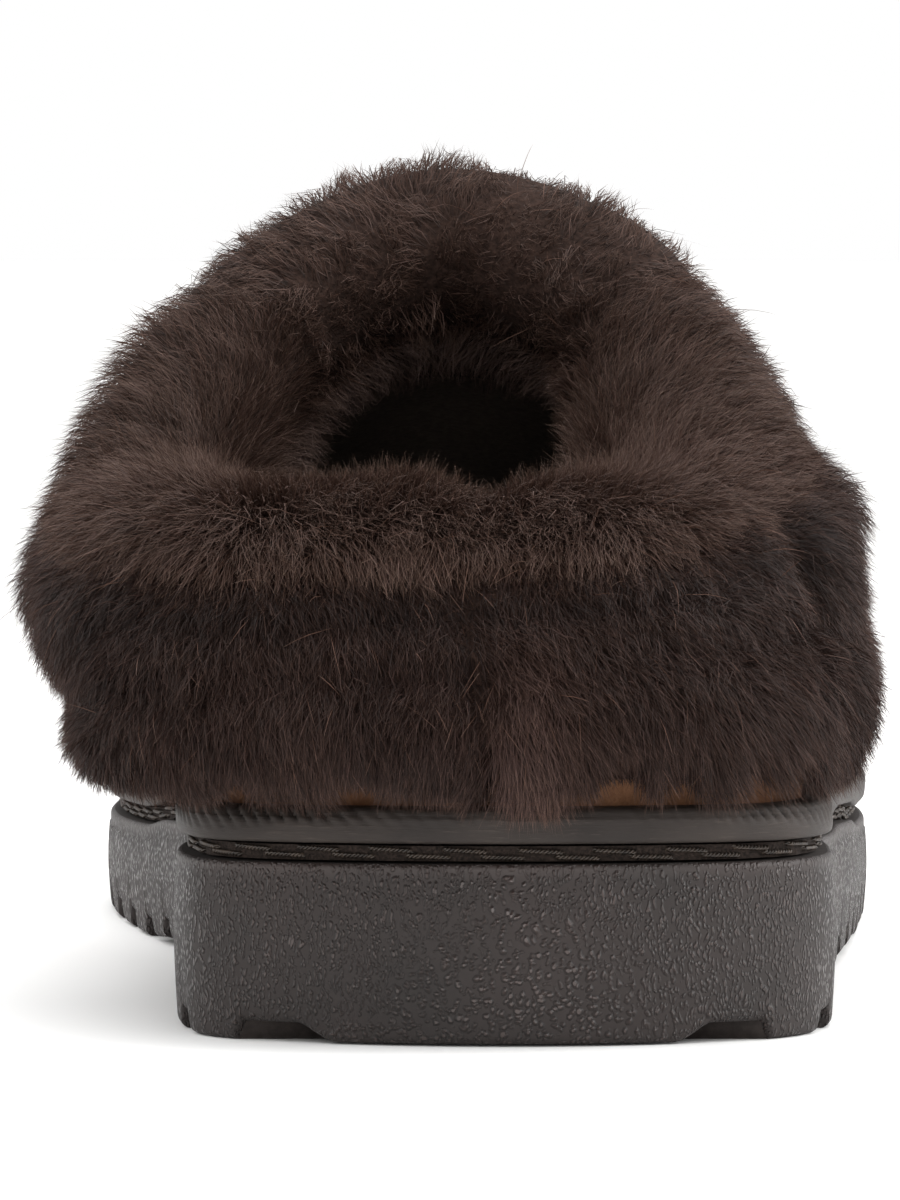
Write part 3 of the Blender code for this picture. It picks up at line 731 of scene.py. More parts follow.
def waxed_thread():
    """Twisted polyester thread, waxed: each ply has a small bright highlight."""
    made, tree, shader, mm = new_material("waxed_thread", Roughness=0.36, IOR=1.55, Specular_IOR_Level=0.45)
    soil_and_shade = add(tree, "TexNoise", None, {"Vector": mm, "Scale": 0.9, "Detail": 3.0}).outputs["Fac"]
    tone = add(tree, "ValToRGB", {"stops": [(0.3, "#1b1511"), (0.7, "#463b32")]}, {"Fac": soil_and_shade})
    feed(shader, Base_Color=tone)
    return made


def rand_leather():
    """Split leather strip: smooth and matt, scratched pale, and darkened in its gathers with painted shade.
    """
    made, tree, shader, mm = new_material("rand_leather", IOR=1.5, Specular_IOR_Level=0.28)
    cloud = add(tree, "TexNoise", None, {"Vector": mm, "Scale": 0.09, "Detail": 3.0}).outputs["Fac"]
    tone = add(
        tree, "ValToRGB", {"stops": [(0.35, "#241e1b"), (0.68, "#302925")]}, {"Fac": cloud}
    ).outputs["Color"]
    # scratches 0.4 mm apart, drawn out along the strip
    pulled = {"Vector": mm, "Rotation": (0.0, 0.35, 0.0), "Scale": (0.22, 0.22, 2.6)}
    drawn = add(tree, "Mapping", None, pulled).outputs["Vector"]
    scratch = add(
        tree, "TexNoise", None, {"Vector": drawn, "Scale": 1.1, "Detail": 5.0, "Roughness": 0.7}
    ).outputs["Fac"]
    lines = add(tree, "ValToRGB", {"stops": [(0.56, 0.0), (0.70, 0.60)]}, {"Fac": scratch}).outputs["Color"]
    scuffed = add(
        tree, "MixRGB", None, {"Fac": lines, "Color1": tone, "Color2": srgb("#463e39")}
    ).outputs["Color"]
    # painted shade: the strip is drawn darker in its gathers, the deeper they are pressed
    fold = add(tree, "Attribute", {"attribute_name": "fold"}).outputs["Fac"]
    crease_shade = add(tree, "MapRange", None, {"Value": fold, "From Min": 0.25, "To Max": 0.75}).outputs["Result"]
    colour = add(tree, "MixRGB", None, {"Fac": crease_shade, "Color1": scuffed, "Color2": srgb("#120e0c")})
    gloss = add(tree, "MapRange", None, {"Value": scratch, "To Min": 0.48, "To Max": 0.72})
    bump = add(tree, "Bump", None, {"Height": scratch, "Strength": 0.6, "Distance": 0.0002})
    feed(shader, Base_Color=colour, Roughness=gloss, Normal=bump)
    return made


def brown_suede():
    """Brown suede: a short nap whose shade changes where it is brushed, with a soft edge glow."""
    made, tree, shader, mm = new_material(
        "brown_suede", Roughness=0.92, Specular_IOR_Level=0.12, Sheen_Weight=0.06, Sheen_Roughness=0.5
    )
    brush = {"Vector": mm, "Scale": 0.035, "Detail": 3.0, "Roughness": 0.45, "Distortion": 0.25}
    brushed = add(tree, "TexNoise", None, brush).outputs["Fac"]
    combed = add(tree, "Mapping", None, {"Vector": mm, "Scale": (1.5, 0.28, 1.2)}).outputs["Vector"]
    strokes = add(tree, "TexNoise", None, {"Vector": combed, "Scale": 0.42, "Detail": 4.0}).outputs["Fac"]
    both = add(
        tree, "MixRGB", None, {"Fac": 0.35, "Color1": brushed, "Color2": strokes}
    ).outputs["Color"]
    shades = {"stops": [(0.34, "#6b4833"), (0.52, "#7c563d"), (0.68, "#8f674c")]}
    tone = add(tree, "ValToRGB", shades, {"Fac": both}).outputs["Color"]
    # the nap's own grain is too fine to show, so it is drawn 0.4 mm wide
    nap = add(
        tree, "TexNoise", None, {"Vector": mm, "Scale": 2.8, "Detail": 6.0, "Roughness": 0.75}
    ).outputs["Fac"]
    fleck = add(tree, "ValToRGB", {"stops": [(0.3, 0.55), (0.7, 1.0)]}, {"Fac": nap}).outputs["Color"]
    colour = add(tree, "MixRGB", {"blend_type": "MULTIPLY"}, {"Fac": 0.8, "Color1": tone, "Color2": fleck})
    bump = add(tree, "Bump", None, {"Height": nap, "Strength": 0.5, "Distance": 0.00025})
    feed(shader, Base_Color=colour, Normal=bump)
    return made


def knitted_backing(name, dark, light):
    """Cloth that the pile is knitted into: seen only between the hairs, so rough, with a knit 1.1 mm wide."""
    made, tree, shader, mm = new_material(name, Roughness=0.95, Specular_IOR_Level=0.1)
    knit = add(tree, "TexVoronoi", None, {"Vector": mm, "Scale": 0.9}).outputs["Distance"]
    fuzz = add(tree, "TexNoise", None, {"Vector": mm, "Scale": 1.6, "Detail": 5.0}).outputs["Fac"]
    mixed = add(
        tree, "MixRGB", {"blend_type": "MULTIPLY"}, {"Fac": 0.6, "Color1": fuzz, "Color2": knit}
    ).outputs["Color"]
    tone = add(tree, "ValToRGB", {"stops": [(0.1, dark), (0.6, light)]}, {"Fac": mixed})
    bump = add(tree, "Bump", None, {"Height": mixed, "Strength": 0.8, "Distance": 0.0006})
    feed(shader, Base_Color=tone, Normal=bump)
    return made


def pile_fibre(name, root, body, tip, roughness):
    """Acrylic fur fibre: dark at the root, paler and redder at the tip.

    The map's height runs from the root to the tip, and its width picks a hair's shade, painted light and
    shade included.
    A real fibre is some 0.03 mm thick; these are four times that, so that they show.
    """
    made, tree, shader, _ = new_material(name, Roughness=roughness, IOR=1.53, Specular_IOR_Level=0.16)
    place = add(tree, "UVMap", {"uv_map": "OFBake"}).outputs["UV"]
    axes = add(tree, "SeparateXYZ", None, {"Vector": place})
    dye = {"stops": [(0.0, root), (0.45, body), (0.8, body), (1.0, tip)]}
    along = add(tree, "ValToRGB", dye, {"Fac": axes.outputs["Y"]}).outputs["Color"]
    own = {"stops": [(0.0, "#6a6260"), (0.5, "#bdb6b2"), (1.0, "#f6f8ff")]}
    shade = add(tree, "ValToRGB", own, {"Fac": axes.outputs["X"]}).outputs["Color"]
    colour = add(tree, "MixRGB", {"blend_type": "MULTIPLY"}, {"Fac": 1.0, "Color1": along, "Color2": shade})
    feed(shader, Base_Color=colour)
    return made


def new_piece(name, blocks, points, finishes, chosen=None, solid=True):
    """One dressed piece, from blocks of faces with as many corners each, that rides with the slipper."""
    sizes = np.concatenate([np.full(len(block), block.shape[1]) for block in blocks])
    corners = np.concatenate([block.ravel() for block in blocks])
    mesh = bpy.data.meshes.new(name)
    mesh.vertices.add(len(points))
    mesh.vertices.foreach_set("co", np.asarray(points, np.float32).ravel())
    mesh.loops.add(len(corners))
    mesh.loops.foreach_set("vertex_index", corners.astype(np.int32))
    mesh.polygons.add(len(sizes))
    mesh.polygons.foreach_set("loop_start", (np.cumsum(sizes) - sizes).astype(np.int32))
    for finish in finishes:
        mesh.materials.append(finish)
    if chosen is not None:
        mesh.polygons.foreach_set("material_index", np.asarray(chosen, np.int32))
    mesh.update(calc_edges=True)
    if solid:
        shape = bmesh.new()
        shape.from_mesh(mesh)
        bmesh.ops.recalc_face_normals(shape, faces=shape.faces)
        shape.to_mesh(mesh)
        shape.free()
        mesh.shade_smooth()
        mesh.set_sharp_from_angle(angle=math.radians(SHARP_ANGLE))
    piece = bpy.data.objects.new(name, mesh)
    bpy.context.scene.collection.objects.link(piece)
    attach(piece, "root")
    return piece


def net(index, closed=False):
    """Quads between the neighbours of a grid of points. A closed grid joins its last row to its first."""
    if closed:
        index = np.vstack([index, index[:1]])
    corners = (index[:-1, :-1], index[1:, :-1], index[1:, 1:], index[:-1, 1:])
    return np.stack(corners, axis=-1).reshape(-1, 4)


def ramped_lift(y):
    """How far the tread is cut away: a lug has an upright front and a ramp behind, like a saw's tooth."""
    off = np.asarray(y)[:, None] - grooves()[None, :]
    nearest = np.take_along_axis(off, np.abs(off).argmin(axis=1)[:, None], axis=1)[:, 0]
    front = np.clip((GROOVE_WIDTH / 2 - nearest) / GROOVE_DRAFT, 0.0, 1.0)
    ramp = np.clip((GROOVE_WIDTH / 2 + LUG_RAMP / 2 + nearest) / LUG_RAMP, 0.0, 1.0)
    return GROOVE_DEPTH * front * ramp * ramp * (3 - 2 * ramp)


def close_stations(count, extra=()):
    """Places along the shoe, so close together at heel and toe that the ends come out round."""
    share = 0.5 - 0.5 * np.cos(np.pi * np.linspace(END_STATION, 1 - END_STATION, count))
    places = np.sort(np.concatenate([share * LENGTH - HEEL_CENTRE, np.asarray(extra, float)]))
    return places[np.concatenate([[True], np.diff(places) > 1e-6])]


def half_length(side):
    return np.linalg.norm(np.diff(HALVES[side], axis=0), axis=1).sum()


def way_round(loop):
    """Distance from the back of the heel: positive on the little-toe side, negative on the other."""
    return np.where(loop <= 1, loop * half_length(1), (loop - 2) * half_length(-1))


def dress_sole(wall, tread):
    """The sole unit: rounded edges, a smooth lip above the grain, and the grooves of its tread."""
    edges = [
        middle + side * (GROOVE_WIDTH / 2 - inner)
        for middle in grooves()
        for side in (-1, 1)
        for inner in (0.0, GROOVE_DRAFT)
    ]
    y = close_stations(SOLE_STATIONS, edges)
    cut = ramped_lift(y)
    quarter = np.radians(np.linspace(0, 90, ROUND_STEPS))
    # each row: how far in, its share of the wall's height (2 at the top edge), how much higher
    rows = [(EDGE_ROUND * (1 - math.sin(q)), 0.0, EDGE_ROUND * (1 - math.cos(q))) for q in quarter]
    rows += [(-WALL_SWELL * math.sin(math.pi * t), t, 0.0) for t in np.linspace(*WALL_ROWS)]
    # under the edge the mould is smooth: the grain fades out from this row to the next
    grained = len(rows)
    rows += [(0.0, 1.0, -SOLE_LIP - GRAIN_FADE)]
    rows += [(EDGE_ROUND / 2 * (1 - math.cos(q)), 2.0, EDGE_ROUND / 2 * (math.sin(q) - 1)) for q in quarter]
    columns = []
    for side in (1, -1):
        edge, normal = edge_across(y, side)
        rings = []
        for inset, place, lift in rows:
            point = edge - inset * normal
            low, high = ground(point[:, 1]) + cut, deck(point[:, 1])
            if place == 0.0:
                tall = low + lift
            elif place == 2.0:
                tall = high + lift
            else:
                tall = low + EDGE_ROUND + place * (high - low - EDGE_ROUND) + lift
            rings.append(np.column_stack([point, tall]))
        columns.append(np.stack(rings, axis=1))
    grid = np.stack(columns)
    index = np.arange(grid[..., 0].size).reshape(grid.shape[:3])
    under = np.stack([index[0, :, 0], index[1, :, 0]])
    over = np.stack([index[0, :, -1], index[1, :, -1]])
    ends = [net(index[:, j, :]) for j in (0, -1)]
    blocks = [net(index[0]), net(index[1]), *ends, net(under), net(over)]
    # the last two, the skived underside with its grooves and the top, have the tread's finish
    on_tread = [np.zeros(len(block), int) for block in blocks[:-2]]
    on_tread += [np.ones(len(block), int) for block in blocks[-2:]]
    chosen = np.concatenate(on_tread)
    sole = new_piece("sole_unit", blocks, grid.reshape(-1, 3), [wall, tread], chosen)
    grain = np.where(np.arange(len(rows)) <= grained, 1.0, LIP_GRAIN)
    grain = np.broadcast_to(grain, grid.shape[:3]).astype(np.float32)
    layer = sole.data.attributes.new("grain", "FLOAT", "POINT")
    layer.data.foreach_set("value", grain.ravel())
    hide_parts("sole")


def dress_rand(finish):
    """The strip round the foot of the upper, gathered round the heel where it was pulled tight."""
    fine = np.linspace(0, 2, 4001)
    closer = 1 + RAND_CLOSER * (1 - ease(np.abs(way_round(fine)), *RAND_OPENS))
    travelled = np.cumsum(closer) - closer[0]
    loop = np.interp(np.linspace(0, travelled[-1], RAND_STEPS, endpoint=False), travelled, fine)
    outer, _ = loop_edge(loop, 0.0)
    low = lasting(outer[:, 1])
    heights = np.linspace(0, 0.5, 60)
    curve = upper_sections(loop, heights)
    tops = zip(low + RAND_HEIGHT, curve)
    level = np.array([np.interp(top, points[:, 2], heights) for top, points in tops])
    against, out, _ = upper_face(loop, np.stack([0 * level, level], axis=1))
    shift = out * (1, 1, 0)
    shift /= np.linalg.norm(shift, axis=-1)[..., None]
    against = against + RAND_GAP * shift
    against[:, 0, 2], against[:, 1, 2] = low, low + RAND_HEIGHT
    quarter = np.radians(np.linspace(0, 90, ROUND_STEPS))
    foot = EDGE_ROUND * 0.5
    rows = [(foot * (1 - math.sin(q)), foot * (1 - math.cos(q))) for q in quarter]
    rows += [(-RAND_SWELL * math.sin(math.pi * t), RAND_HEIGHT * t) for t in np.linspace(*RAND_ROWS)]
    rows += [(EDGE_ROUND * (1 - math.cos(q)), RAND_HEIGHT - EDGE_ROUND * (1 - math.sin(q))) for q in quarter]
    round_ = way_round(loop)
    rings, folds = [against[:, 0]], [0 * round_]
    for inset, lift in rows:
        share = lift / RAND_HEIGHT
        folds.append(gathers(round_, share))
        pressed = inset + folds[-1]
        point, normal = loop_edge(loop, 0.0)
        rings.append(np.column_stack([point - pressed[:, None] * normal, low + lift]))
    rings.append(against[:, 1])
    folds.append(0 * round_)
    grid = np.stack(rings, axis=1)
    index = np.arange(grid[..., 0].size).reshape(grid.shape[:2])
    index = np.hstack([index, index[:, :1]])
    rand = new_piece("rand_strip", [net(index, True)], grid.reshape(-1, 3), [finish])
    # painted shade: how deep each gather is pressed is kept on the strip, to darken it in the folds
    layer = rand.data.attributes.new("fold", "FLOAT", "POINT")
    soil_and_shade = np.clip(np.stack(folds, axis=1) / FOLD_FULL_SHADE, 0, 1)
    layer.data.foreach_set("value", soil_and_shade.astype(np.float32).ravel())
    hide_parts("rand")


def gathers(round_, share):
    """How far the strip is pressed in by its gathers: slanted ones, which fade out towards its lower edge."""
    wander, over = GATHER_WANDER
    begins, later, full = GATHER_REACH
    pressed = RAND_WAVE * np.sin(round_ / RAND_WAVE_PITCH + 2.0 * np.sin(round_ / RAND_WAVE_DRIFT)) * share
    for start, end, pitch, slant, depth in GATHERS:
        middle, reach = (start + end) / 2, abs(end - start) / 2
        strength = np.clip(1.25 - np.abs(round_ - middle) / reach, 0, 1)
        wave = round_ / pitch + slant * share + wander * np.sin(round_ / over)
        number = np.floor(wave)
        own = 0.5 + 0.5 * np.sin(number * 12.9898)
        fold = hump(wave - number, 0.5, GATHER_WIDTH)
        reach_down = ease(share, begins + later * own, full)
        pressed = pressed + depth * (0.5 + 0.5 * own) * strength * fold * reach_down
    return pressed


def thread_path(middle, number):
    """Where one stitch of the welt seam runs: along the groove, a little aslant, its ends in the board."""
    share = np.linspace(-1, 1, STITCH_RINGS)
    side = 1 if middle >= 0 else -1
    above = number % 2
    high = STITCH_RISE / 2 * (1 if above else -1)
    uneven = math.sin(number * 12.9898) * STITCH_UNEVEN
    travel = middle + share * STITCH_LENGTH / 2
    other = travel * side < 0
    runs = {s: np.clip(np.abs(travel) / half_length(s), 0, 1) for s in (1, -1)}
    near, normal = edge_at(runs[side], side)
    if other.any():
        near[other], normal[other] = edge_at(runs[-side][other], -side)
    sunk = STITCH_SUNK * ease(np.abs(share), STITCH_SINKS, 1.0)
    point = near - (MIDSOLE_SETBACK - STITCH_WIDTH * 0.5 + sunk)[:, None] * normal
    tall = deck(point[:, 1]) + SEAT_GAP + MIDSOLE / 2 + high + uneven
    tall = tall - share * STITCH_SLANT * (1 if above else 0.6)
    return np.column_stack([point, tall]), normal


def dress_seam(finish):
    """The welt seam in the groove: lockstitches of two-ply thread, laid in turn high and low."""
    points, blocks, count = [], [], 0
    first, last = -half_length(-1) + STITCH_LENGTH, half_length(1) - STITCH_LENGTH
    middles = np.arange(first, last, STITCH_PITCH)
    corner = np.linspace(0, 2 * np.pi, STITCH_SIDES, endpoint=False)
    for number, middle in enumerate(middles):
        path, normal = thread_path(middle, number)
        travel = np.linspace(0, STITCH_LENGTH, STITCH_RINGS)
        out = np.column_stack([normal, np.zeros(len(normal))])
        up = np.array([0.0, 0.0, 1.0])
        for ply in (0.0, np.pi):
            turn = 2 * np.pi * travel / PLY_TWIST + ply + number
            aside = np.cos(turn)[:, None] * out + np.sin(turn)[:, None] * up
            centre = path + PLY_WIDTH * PLY_APART * aside
            ring = np.cos(corner)[None, :, None] * out[:, None] + np.sin(corner)[None, :, None] * up
            tube = centre[:, None] + PLY_WIDTH / 2 * ring
            points.append(tube.reshape(-1, 3))
            index = count + np.arange(len(tube) * STITCH_SIDES).reshape(-1, STITCH_SIDES)
            blocks.append(net(np.hstack([index, index[:, :1]])))
            count += index.size
    tubes = np.vstack(blocks)
    seam = new_piece("welt_seam", [tubes], np.vstack(points), [finish], solid=False)
    seam.data.shade_smooth()


def creases(points):
    """How far the vamp is pressed in, by soft troughs with a low ridge on each side."""
    pressed = np.zeros(points.shape[:-1])
    for y, x, bow, length, width, depth in CREASES:
        across = points[..., 0] - x
        off = points[..., 1] - y - bow * across**2
        fade = np.exp(-((across / length) ** 4))
        ridge = hump(np.abs(off), RIDGE_PLACE * width, width)
        trough = hump(off, 0, width) - RIDGE_HEIGHT * ridge
        pressed += depth * trough * fade
    return pressed


def dress_upper(suede, lining):
    """Vamp and quarters: suede outside, backing inside, creased over the toes where the foot bends."""
    loop = np.linspace(0, 2, SHELL_STEPS, endpoint=False)
    rising = np.linspace(0, 1, SHELL_ROWS)
    outside, normal, _ = upper_face(loop, rising[None, :] + 0 * loop[:, None])
    # nothing moves at the rand or under the collar
    free = ease(rising, 0.06, 0.2) * ease(1 - rising, 0.1, 0.3)
    round_ = np.abs(way_round(loop))[:, None]
    toe = ease(round_, *PUCKER_FROM)
    puckers = PUCKER_DEPTH * np.sin(2 * np.pi * round_ / PUCKER_PITCH) * toe
    puckers = puckers * ease(rising, 0.03, 0.1) * ease(-rising, -0.34, -0.12)
    pressed = creases(outside) * free + puckers
    inside = outside - normal * UPPER_WALL
    outside = outside - normal * pressed[..., None]
    grid = np.concatenate([outside, inside[:, ::-1]], axis=1)
    index = np.arange(grid[..., 0].size).reshape(grid.shape[:2])
    index = np.hstack([index, index[:, :1]])
    faces = net(index, True)
    inner = (np.arange(len(faces)) % (index.shape[1] - 1)) >= SHELL_ROWS
    chosen = inner.astype(int)
    upper = new_piece("suede_upper", [faces], grid.reshape(-1, 3), [suede, lining], chosen)
    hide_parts("upper")


def footbed_edge(y, side):
    """The pad's edge, clear of the inside of the upper."""
    inset = RAND_WIDTH + SEAT_GAP + UPPER_WALL + INSOLE_CLEARANCE
    edge, normal = edge_across(y, side)
    return edge - inset * normal


def footbed_top(x, y, middle, half):
    """The pad's top: low where heel and ball have pressed it, and rolled down at its edge."""
    out = np.clip(np.abs(x - middle) / half, 0, 1)
    top = lasting(y) + FOOTBED_PAD * (1 - FOOTBED_ROLL * out**5)
    for along, length, width, depth in FOOTBED_HOLLOWS:
        top = top - depth * np.exp(-(((y - along) / length) ** 2) - ((x - middle) / width) ** 2)
    return top


def footbed_grid(count, across):
    """Points of the pad's top, in rows from side to side."""
    y = close_stations(count)
    right, left = footbed_edge(y, 1), footbed_edge(y, -1)
    share = np.linspace(0, 1, across)[None, :, None]
    flat = right[:, None] * (1 - share) + left[:, None] * share
    middle = (right + left)[:, None, 0] / 2
    half = np.maximum(np.abs(right - left)[:, None, 0] / 2, 1e-5)
    return np.dstack([flat, footbed_top(flat[..., 0], flat[..., 1], middle, half)])


def dress_footbed(finish):
    """The pad under the foot, a knitted pile over foam."""
    top = footbed_grid(*FOOTBED_GRID)
    under = top.copy()
    under[..., 2] = lasting(under[..., 1])
    grid = np.concatenate([top, under[:, ::-1]], axis=1)
    index = np.arange(grid[..., 0].size).reshape(grid.shape[:2])
    ring = np.hstack([index, index[:, :1]])
    half = top.shape[1]
    ends = [net(np.stack([index[j, :half], index[j, :half - 1:-1]])) for j in (0, -1)]
    pad = new_piece("pile_footbed", [net(ring), *ends], grid.reshape(-1, 3), [finish])
    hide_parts("insole")


def inner_reach(loop):
    """How far down inside the upper the lining goes: to the footbed."""
    _, travelled, curve = edge_travel(loop)
    clear = lasting(curve[..., 1]) + FOOTBED_PAD
    return np.minimum(np.where(curve[..., 2] >= clear, travelled, 0.0).max(axis=1), LINING_REACH)


def fullness(loop, shares):
    """How much the roll of the collar is plumped high at its sides and tucked in under, next to the solid."""
    round_ = way_round(loop)[:, None]
    share = shares[None, :]
    far, big_toe = np.abs(round_), round_ < 0
    sides = ease(far, 0.030, 0.062) * (1 - ease(far, 0.165, 0.215))
    slimmer = np.where(big_toe, FAR_SLIM_BIG_TOE, FAR_SLIM_LITTLE_TOE) * ease(far, 0.085, 0.125)
    high = np.where(big_toe, PLUMP_BIG_TOE, PLUMP_LITTLE_TOE) - slimmer
    low = np.where(big_toe, 0.10, 0.24)
    high = high * hump(share, low, low + 0.04)
    tuck = np.where(big_toe, TUCK_BIG_TOE, TUCK_LITTLE_TOE) * ease(share, 0.25, 0.88)
    under = np.where(big_toe, UNDER_BIG_TOE, UNDER_LITTLE_TOE) * hump(share, 0.50, 0.20)
    corner = corner_plump(round_) * hump(share, 0.08, 0.20)
    off = round_ - FOLD_PLACE
    fold = FOLD_RIDGE * hump(off, -0.007, 0.005) - FOLD_DEEPER * hump(off, 0, 0.0045)
    fold = fold * ease(share, 0.02, 0.15) * (1 - ease(share, 0.70, 0.95))
    return sides * (high - tuck - under) + corner + fold


def corner_plump(round_):
    """The fur stands fuller where the collar turns from the heel to the little-toe side."""
    return CORNER_PLUMP * hump(round_, *CORNER)


def pile_backing(loop):
    """Where the fur is rooted, in rows: up the lining, over the top edge and down outside.

    Gives each row's place too: -1 at the footbed, 0 on the top edge, 1 at the hem.
    """
    reach, deep = cuff_reach(loop)[:, None], inner_reach(loop)[:, None]
    down = deep * np.linspace(1.0, 0.03, PILE_IN_STEPS)[None, :]
    inner, inward, _ = upper_face(loop, below_edge(loop, down))
    thins, thin = (share * LINING_DEPTH for share in ROOT_THINS)
    stand = ROOT_LOW + (ROOT_INNER - ROOT_LOW) * (1 - ease(down, thins, thin))
    inner = inner - inward * (UPPER_WALL + CUFF_GAP + stand)[..., None]
    edge, out, up = (part[:, -1:] for part in upper_face(loop, np.array([[0.99, 1.0]])))
    turns = np.radians(np.linspace(CREST_FROM, CREST_TO, PILE_CREST_STEPS))
    over = np.where(turns > np.pi / 2, ROOT_INNER + CUFF_GAP, ROOT_SHARE * CREST)
    middle = edge - out * UPPER_WALL / 2
    fuller = corner_plump(way_round(loop))[:, None]
    across = np.cos(turns) * (UPPER_WALL / 2 + over) + fuller * (turns < np.pi / 2) * np.cos(turns)
    crest = middle + out * across[..., None]
    crest = crest + up * (np.sin(turns) * (ROOT_SHARE * CREST + 0.7 * fuller))[..., None]
    shares = np.linspace(0.03, 1.0, PILE_OUT_STEPS)
    outer, normal, _ = upper_face(loop, below_edge(loop, reach * shares))
    thick = ROOT_SHARE * fur_depth(loop, shares, TUFT_RELIEF) + fullness(loop, shares)
    outer = outer + normal * thick[..., None]
    grid = np.concatenate([inner, crest, outer], axis=1)
    inside = -np.linspace(1.0, 0.10, PILE_IN_STEPS)
    across = np.linspace(-0.07, 0.04, PILE_CREST_STEPS)
    return grid, np.concatenate([inside, across, 0.07 + 0.93 * (shares - 0.03) / 0.97])


def along_and_out(grid):
    """Unit vectors over a backing that runs round: down its rows, and away from the upper."""
    down = np.gradient(grid, axis=1)
    beside = np.roll(grid, -1, 0) - np.roll(grid, 1, 0)
    out = np.cross(beside, down)
    out /= np.linalg.norm(out, axis=-1)[..., None]
    down /= np.linalg.norm(down, axis=-1)[..., None]
    return down, -out


def dress_undercoat(finish):
    """The knitted ground of the fur, wrapped over the top edge of the upper."""
    loop = np.linspace(0, 2, SHELL_STEPS, endpoint=False)
    grid, place = pile_backing(loop)
    _, out = along_and_out(grid)
    least, more = GROUND_COVER
    grid = grid + (least + more * ease(place, 0.05, 0.25) * (1 - ease(place, 0.8, 1.0)))[None, :, None] * out
    deep, reach = inner_reach(loop)[:, None], cuff_reach(loop)[:, None]
    upwards = np.linspace(1.0, 0.0, BACK_IN_STEPS)[None, ::-1]
    up_inside, inward, _ = upper_face(loop, below_edge(loop, deep * upwards))
    downwards = np.linspace(1.0, 0.0, BACK_OUT_STEPS)[None, :]
    outside, normal, _ = upper_face(loop, below_edge(loop, reach * downwards))
    back = np.concatenate([
        outside + CUFF_GAP * normal,
        up_inside - (UPPER_WALL + CUFF_GAP) * inward,
    ], axis=1)
    # the two rows that meet over the top edge
    back[:, BACK_OUT_STEPS - 1 : BACK_OUT_STEPS + 1, 2] += CUFF_GAP
    grid = np.concatenate([grid, back], axis=1)
    index = np.arange(grid[..., 0].size).reshape(grid.shape[:2])
    index = np.hstack([index, index[:, :1]])
    ground_cloth = new_piece("fur_ground", [net(index, True)], grid.reshape(-1, 3), [finish])
    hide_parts("collar")


def waves(points, seed, longest, shortest, count=9):
    """A smooth random field from -1 to 1, its waves between these lengths."""
    chance = np.random.default_rng(seed)
    total = np.zeros(points.shape[:-1])
    for _ in range(count):
        heading = chance.normal(size=3)
        heading /= np.linalg.norm(heading)
        length = chance.uniform(shortest, longest)
        total += np.sin(points @ heading * 2 * np.pi / length + chance.uniform(0, 2 * np.pi))
    return total / math.sqrt(count) / 1.4


def spread_roots(chance, grid, density, count, fields, closed=True):
    """Roots strewn over a grid by area and density. Gives each root's values of the fields at that place."""
    nxt = np.roll(grid, -1, 0) if closed else grid[1:]
    here = grid if closed else grid[:-1]
    side, down = nxt[:, :-1] - here[:, :-1], here[:, 1:] - here[:, :-1]
    area = np.linalg.norm(np.cross(side, down), axis=-1)
    dense = density if closed else density[:-1]
    weight = np.cumsum((area * dense[:, :-1]).ravel())
    cell = np.searchsorted(weight, chance.uniform(0, weight[-1], count))
    i, j = np.unravel_index(np.minimum(cell, len(weight) - 1), area.shape)
    u, v = chance.uniform(size=count), chance.uniform(size=count)
    after = (i + 1) % len(grid)
    found = []
    for field in fields:
        flat = field.ndim == 2
        a, b = (u, v) if flat else (u[:, None], v[:, None])
        near = field[i, j] * (1 - a) + field[after, j] * a
        far = field[i, j + 1] * (1 - a) + field[after, j + 1] * a
        found.append(near * (1 - b) + far * b)
    return found


def unit(vectors):
    return vectors / np.maximum(np.linalg.norm(vectors, axis=-1), 1e-12)[..., None]


def gather_tufts(root, curve, each, pull, power, steps=STRAND_STEPS):
    """Draws the hairs' tips towards the nearest of every so many hairs, so that they hang in tufts."""
    leads = np.arange(0, len(root), each)
    tree = KDTree(len(leads))
    for place, lead in enumerate(leads):
        tree.insert(root[lead], place)
    tree.balance()
    nearest = leads[[tree.find(point)[1] for point in root.tolist()]]
    share = (steps**power)[None, :, None] * pull[:, None, None]
    return curve + share * (curve[nearest] - curve)


def hairs(root, out, way, length, lift, droop, bend, steps=STRAND_STEPS):
    """The line of each hair: it leaves its root at an angle, bends and hangs."""
    start = unit(np.cos(lift)[:, None] * way + np.sin(lift)[:, None] * out)
    end = unit(np.cos(lift * bend)[:, None] * way + np.sin(lift * bend)[:, None] * out)
    share = steps[None, :, None]
    reach = length[:, None, None]
    curve = root[:, None] + reach * (share * start[:, None] + 0.5 * share**2 * (end - start)[:, None])
    curve[..., 2] -= (droop * length)[:, None] * steps**2
    return curve


